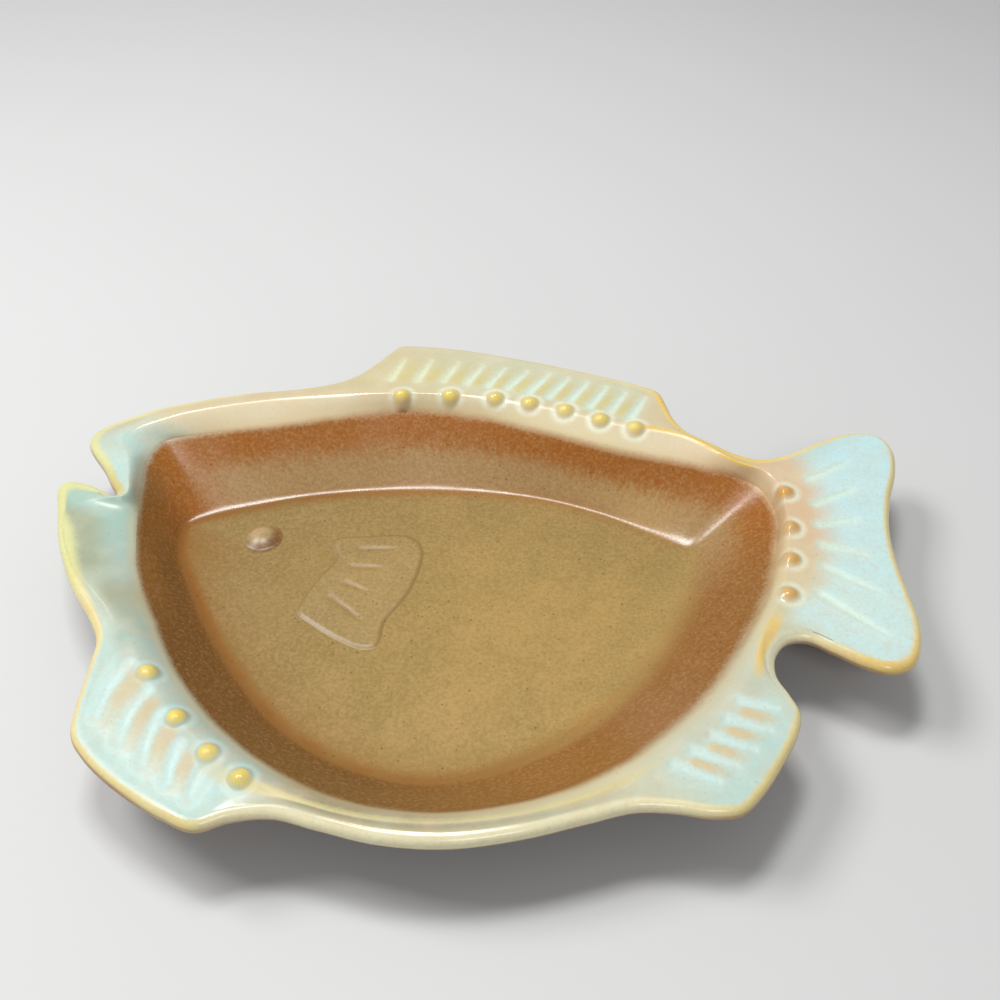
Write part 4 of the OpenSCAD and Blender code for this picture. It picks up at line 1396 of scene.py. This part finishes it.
def build_clay(sizes):
    """Clay casting, with its rounded foot ring and the recess inside it.

    Its top keeps a little under the glaze, deeper where the rays are pressed, and the foot
    ring is rounded over by quarter circles at both sides.
    """
    plan = Plan(sizes)
    coat, deep = sizes.glaze, sizes.glaze + 1.0 * MM
    radius, height = edge_of(sizes)
    w = [WALL_START, -0.1, 0, 0.1, 0.3, 0.65, 1]
    v = [0.3, 0.65, 1]
    turn = np.array([45, 90, 135]) * math.pi / 180
    start = plan.edge(radius)
    well = raised(plan.on_wall(w), wall_height(sizes, plan, w) - coat)
    shoulder = raised(mixed(plan.line, plan.crest, v), shoulder_height(sizes, plan, v) - deep)
    flange = raised(mixed(plan.crest, start, [0.5, 1]), height - deep)
    rim = raised(mixed(start, plan.edge(coat), np.sin(turn)),
                 (height - radius + (radius - coat) * np.cos(turn))[:, None])
    under = profile_rings(underside_keys(sizes, plan, coat), 3)

    foot = plan.on_wall([FOOT_SHARE])[0]
    inward = plan.middle - foot
    inward /= np.linalg.norm(inward, axis=1)[:, None]
    recess = sizes.floor_height - coat - sizes.floor_thickness
    arc = np.linspace(0, math.pi / 2, 7)
    near, far = FOOT_ROUND * (1 - np.cos(arc)), FOOT_ROUND * (1 - np.sin(arc))
    beyond = sizes.foot_width + np.array([0.3, 1.0, 4]) * MM
    insets = np.concatenate([near, sizes.foot_width - far, beyond])
    heights = np.concatenate([far, near, recess * np.array([0.8, 1, 1])])
    base = raised(foot + inward * insets[:, None, None], heights[:, None])
    inner = raised(mixed(plan.hub, well[0, :, :2], [0.07, 0.25, 0.5, 0.75]),
                   sizes.floor_height - coat)
    outer = raised(mixed(base[-1, :, :2], plan.hub, [0.25, 0.5, 0.75, 0.93]), recess)
    rings = np.concatenate([inner, well, shoulder, flange, rim, under, base, outer])
    steps = [32, 16, 8, 4] + [2] * (len(rings) - 8) + [4, 8, 16, 32]
    poles = [raised(plan.middle, rise) for rise in (sizes.floor_height - coat, recess)]
    return loft("stoneware_casting", rings, {}, clay_material(), steps, poles)


# Stage

def build_stage():
    """Pale floor, soft lights and the camera."""
    scene = bpy.context.scene
    material, tree, shader = new_material("pale_floor")
    place = put(tree, "ShaderNodeTexCoord").outputs["Object"]
    colour = blend(tree, noise(tree, place, 3, 2), "dark_ground", "pale_ground")
    tree.links.new(colour, shader.inputs["Base Color"])
    shader.inputs["Roughness"].default_value = 0.6
    mesh = bpy.data.meshes.new("floor")
    mesh.from_pydata([(x * FLOOR_REACH, y * FLOOR_REACH, 0)
                      for x, y in ((-1, -1), (1, -1), (1, 1), (-1, 1))], [], [(0, 1, 2, 3)])
    mesh.materials.append(material)
    floor = linked("floor", mesh)
    floor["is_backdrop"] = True

    for name, place, size, power in LAMPS:
        light = bpy.data.lights.new(name, "AREA")
        light.shape = "RECTANGLE"
        light.size, light.size_y = size
        light.energy = power
        lamp = linked(name, light)
        lamp.location = place
        aim = Vector(LAMP_AIM) - Vector(place)
        lamp.rotation_euler = aim.to_track_quat("-Z", "Y").to_euler()

    world = bpy.data.worlds.new("soft_room")
    world.use_nodes = True
    background = world.node_tree.nodes["Background"]
    background.inputs["Color"].default_value = (0.86, 0.88, 0.90, 1)
    background.inputs["Strength"].default_value = 0.345
    scene.world = world

    camera = bpy.data.cameras.new("camera")
    camera.lens = 39.6
    camera.sensor_width = 36
    view = linked("camera", camera)
    view.location = (0.0487, -0.2392, 0.2751)
    view.rotation_euler = (math.radians(47), 0, math.radians(8.8))
    scene.camera = view
    scene.view_settings.view_transform = "Standard"


# Operators and panel

def settings(context):
    """The three groups of settings that the scene carries."""
    scene = context.scene
    return scene.fish_platter_sizes, scene.fish_platter_relief, scene.fish_platter_finish


def seated(piece, node):
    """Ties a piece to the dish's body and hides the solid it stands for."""
    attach(piece, "root")
    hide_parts(node)


class FISHPLATTER_OT_clay(bpy.types.Operator):
    """Builds the clay casting with its foot ring"""
    bl_idname = "fish_platter.clay"
    bl_label = "Clay casting"

    def execute(self, context):
        sizes = settings(context)[0]
        seated(build_clay(sizes), "stoneware_body")
        return {"FINISHED"}


class FISHPLATTER_OT_well(bpy.types.Operator):
    """Builds the brown coat of the well"""
    bl_idname = "fish_platter.well"
    bl_label = "Well"

    def execute(self, context):
        sizes, _, finish = settings(context)
        seated(build_well(sizes, finish), "well_glaze")
        return {"FINISHED"}


class FISHPLATTER_OT_floor_relief(bpy.types.Operator):
    """Builds the eye and the pectoral fin on the floor of the well"""
    bl_idname = "fish_platter.floor_relief"
    bl_label = "Eye and pectoral fin"

    def execute(self, context):
        sizes, relief, finish = settings(context)
        seated(build_eye(sizes, relief, finish), "well_glaze")
        seated(build_fin(sizes, relief, finish), "well_glaze")
        return {"FINISHED"}


class FISHPLATTER_OT_rim(bpy.types.Operator):
    """Builds the blue coat of the rim with its beads and rays"""
    bl_idname = "fish_platter.rim"
    bl_label = "Rim and fins"

    def execute(self, context):
        sizes, relief, finish = settings(context)
        seated(build_rim(sizes, relief, finish), "rim_glaze")
        return {"FINISHED"}


class FISHPLATTER_OT_underside(bpy.types.Operator):
    """Builds the dark coat under the rim and outside the wall"""
    bl_idname = "fish_platter.underside"
    bl_label = "Underside"

    def execute(self, context):
        sizes, _, finish = settings(context)
        seated(build_underside(sizes, finish), "underside_glaze")
        return {"FINISHED"}


class FISHPLATTER_OT_stage(bpy.types.Operator):
    """Builds the floor, the lights and the camera"""
    bl_idname = "fish_platter.stage"
    bl_label = "Stage"

    def execute(self, context):
        build_stage()
        return {"FINISHED"}


class FISHPLATTER_PT_panel(bpy.types.Panel):
    """Settings and build steps of the fish platter"""
    bl_idname = "FISHPLATTER_PT_panel"
    bl_label = "Fish Platter"
    bl_space_type = "VIEW_3D"
    bl_region_type = "UI"
    bl_category = "Fish Platter"

    def draw(self, context):
        for title, group in zip(("Sizes", "Relief", "Finish"), settings(context)):
            box = self.layout.box()
            box.label(text=title)
            for key in group.bl_rna.properties.keys():
                if key not in {"rna_type", "name"}:
                    box.prop(group, key)
        for operator in OPERATORS:
            self.layout.operator(operator.bl_idname)


GROUPS = (FISHPLATTER_PG_sizes, FISHPLATTER_PG_relief, FISHPLATTER_PG_finish)
OPERATORS = (FISHPLATTER_OT_clay, FISHPLATTER_OT_well, FISHPLATTER_OT_floor_relief,
             FISHPLATTER_OT_rim, FISHPLATTER_OT_underside, FISHPLATTER_OT_stage)
CLASSES = GROUPS + OPERATORS + (FISHPLATTER_PT_panel,)


def register():
    """Registers all classes and hangs the settings on the scene."""
    for cls in CLASSES:
        bpy.utils.register_class(cls)
    scene = bpy.types.Scene
    scene.fish_platter_sizes = bpy.props.PointerProperty(type=FISHPLATTER_PG_sizes)
    scene.fish_platter_relief = bpy.props.PointerProperty(type=FISHPLATTER_PG_relief)
    scene.fish_platter_finish = bpy.props.PointerProperty(type=FISHPLATTER_PG_finish)


def unregister():
    """Takes the settings off the scene and unregisters all classes."""
    scene = bpy.types.Scene
    del scene.fish_platter_sizes, scene.fish_platter_relief, scene.fish_platter_finish
    for cls in reversed(CLASSES):
        bpy.utils.unregister_class(cls)


def main():
    """Builds every piece."""
    register()
    bpy.ops.fish_platter.stage()
    bpy.ops.fish_platter.clay()
    bpy.ops.fish_platter.well()
    bpy.ops.fish_platter.floor_relief()
    bpy.ops.fish_platter.rim()
    bpy.ops.fish_platter.underside()


if __name__ == "__main__":
    main()
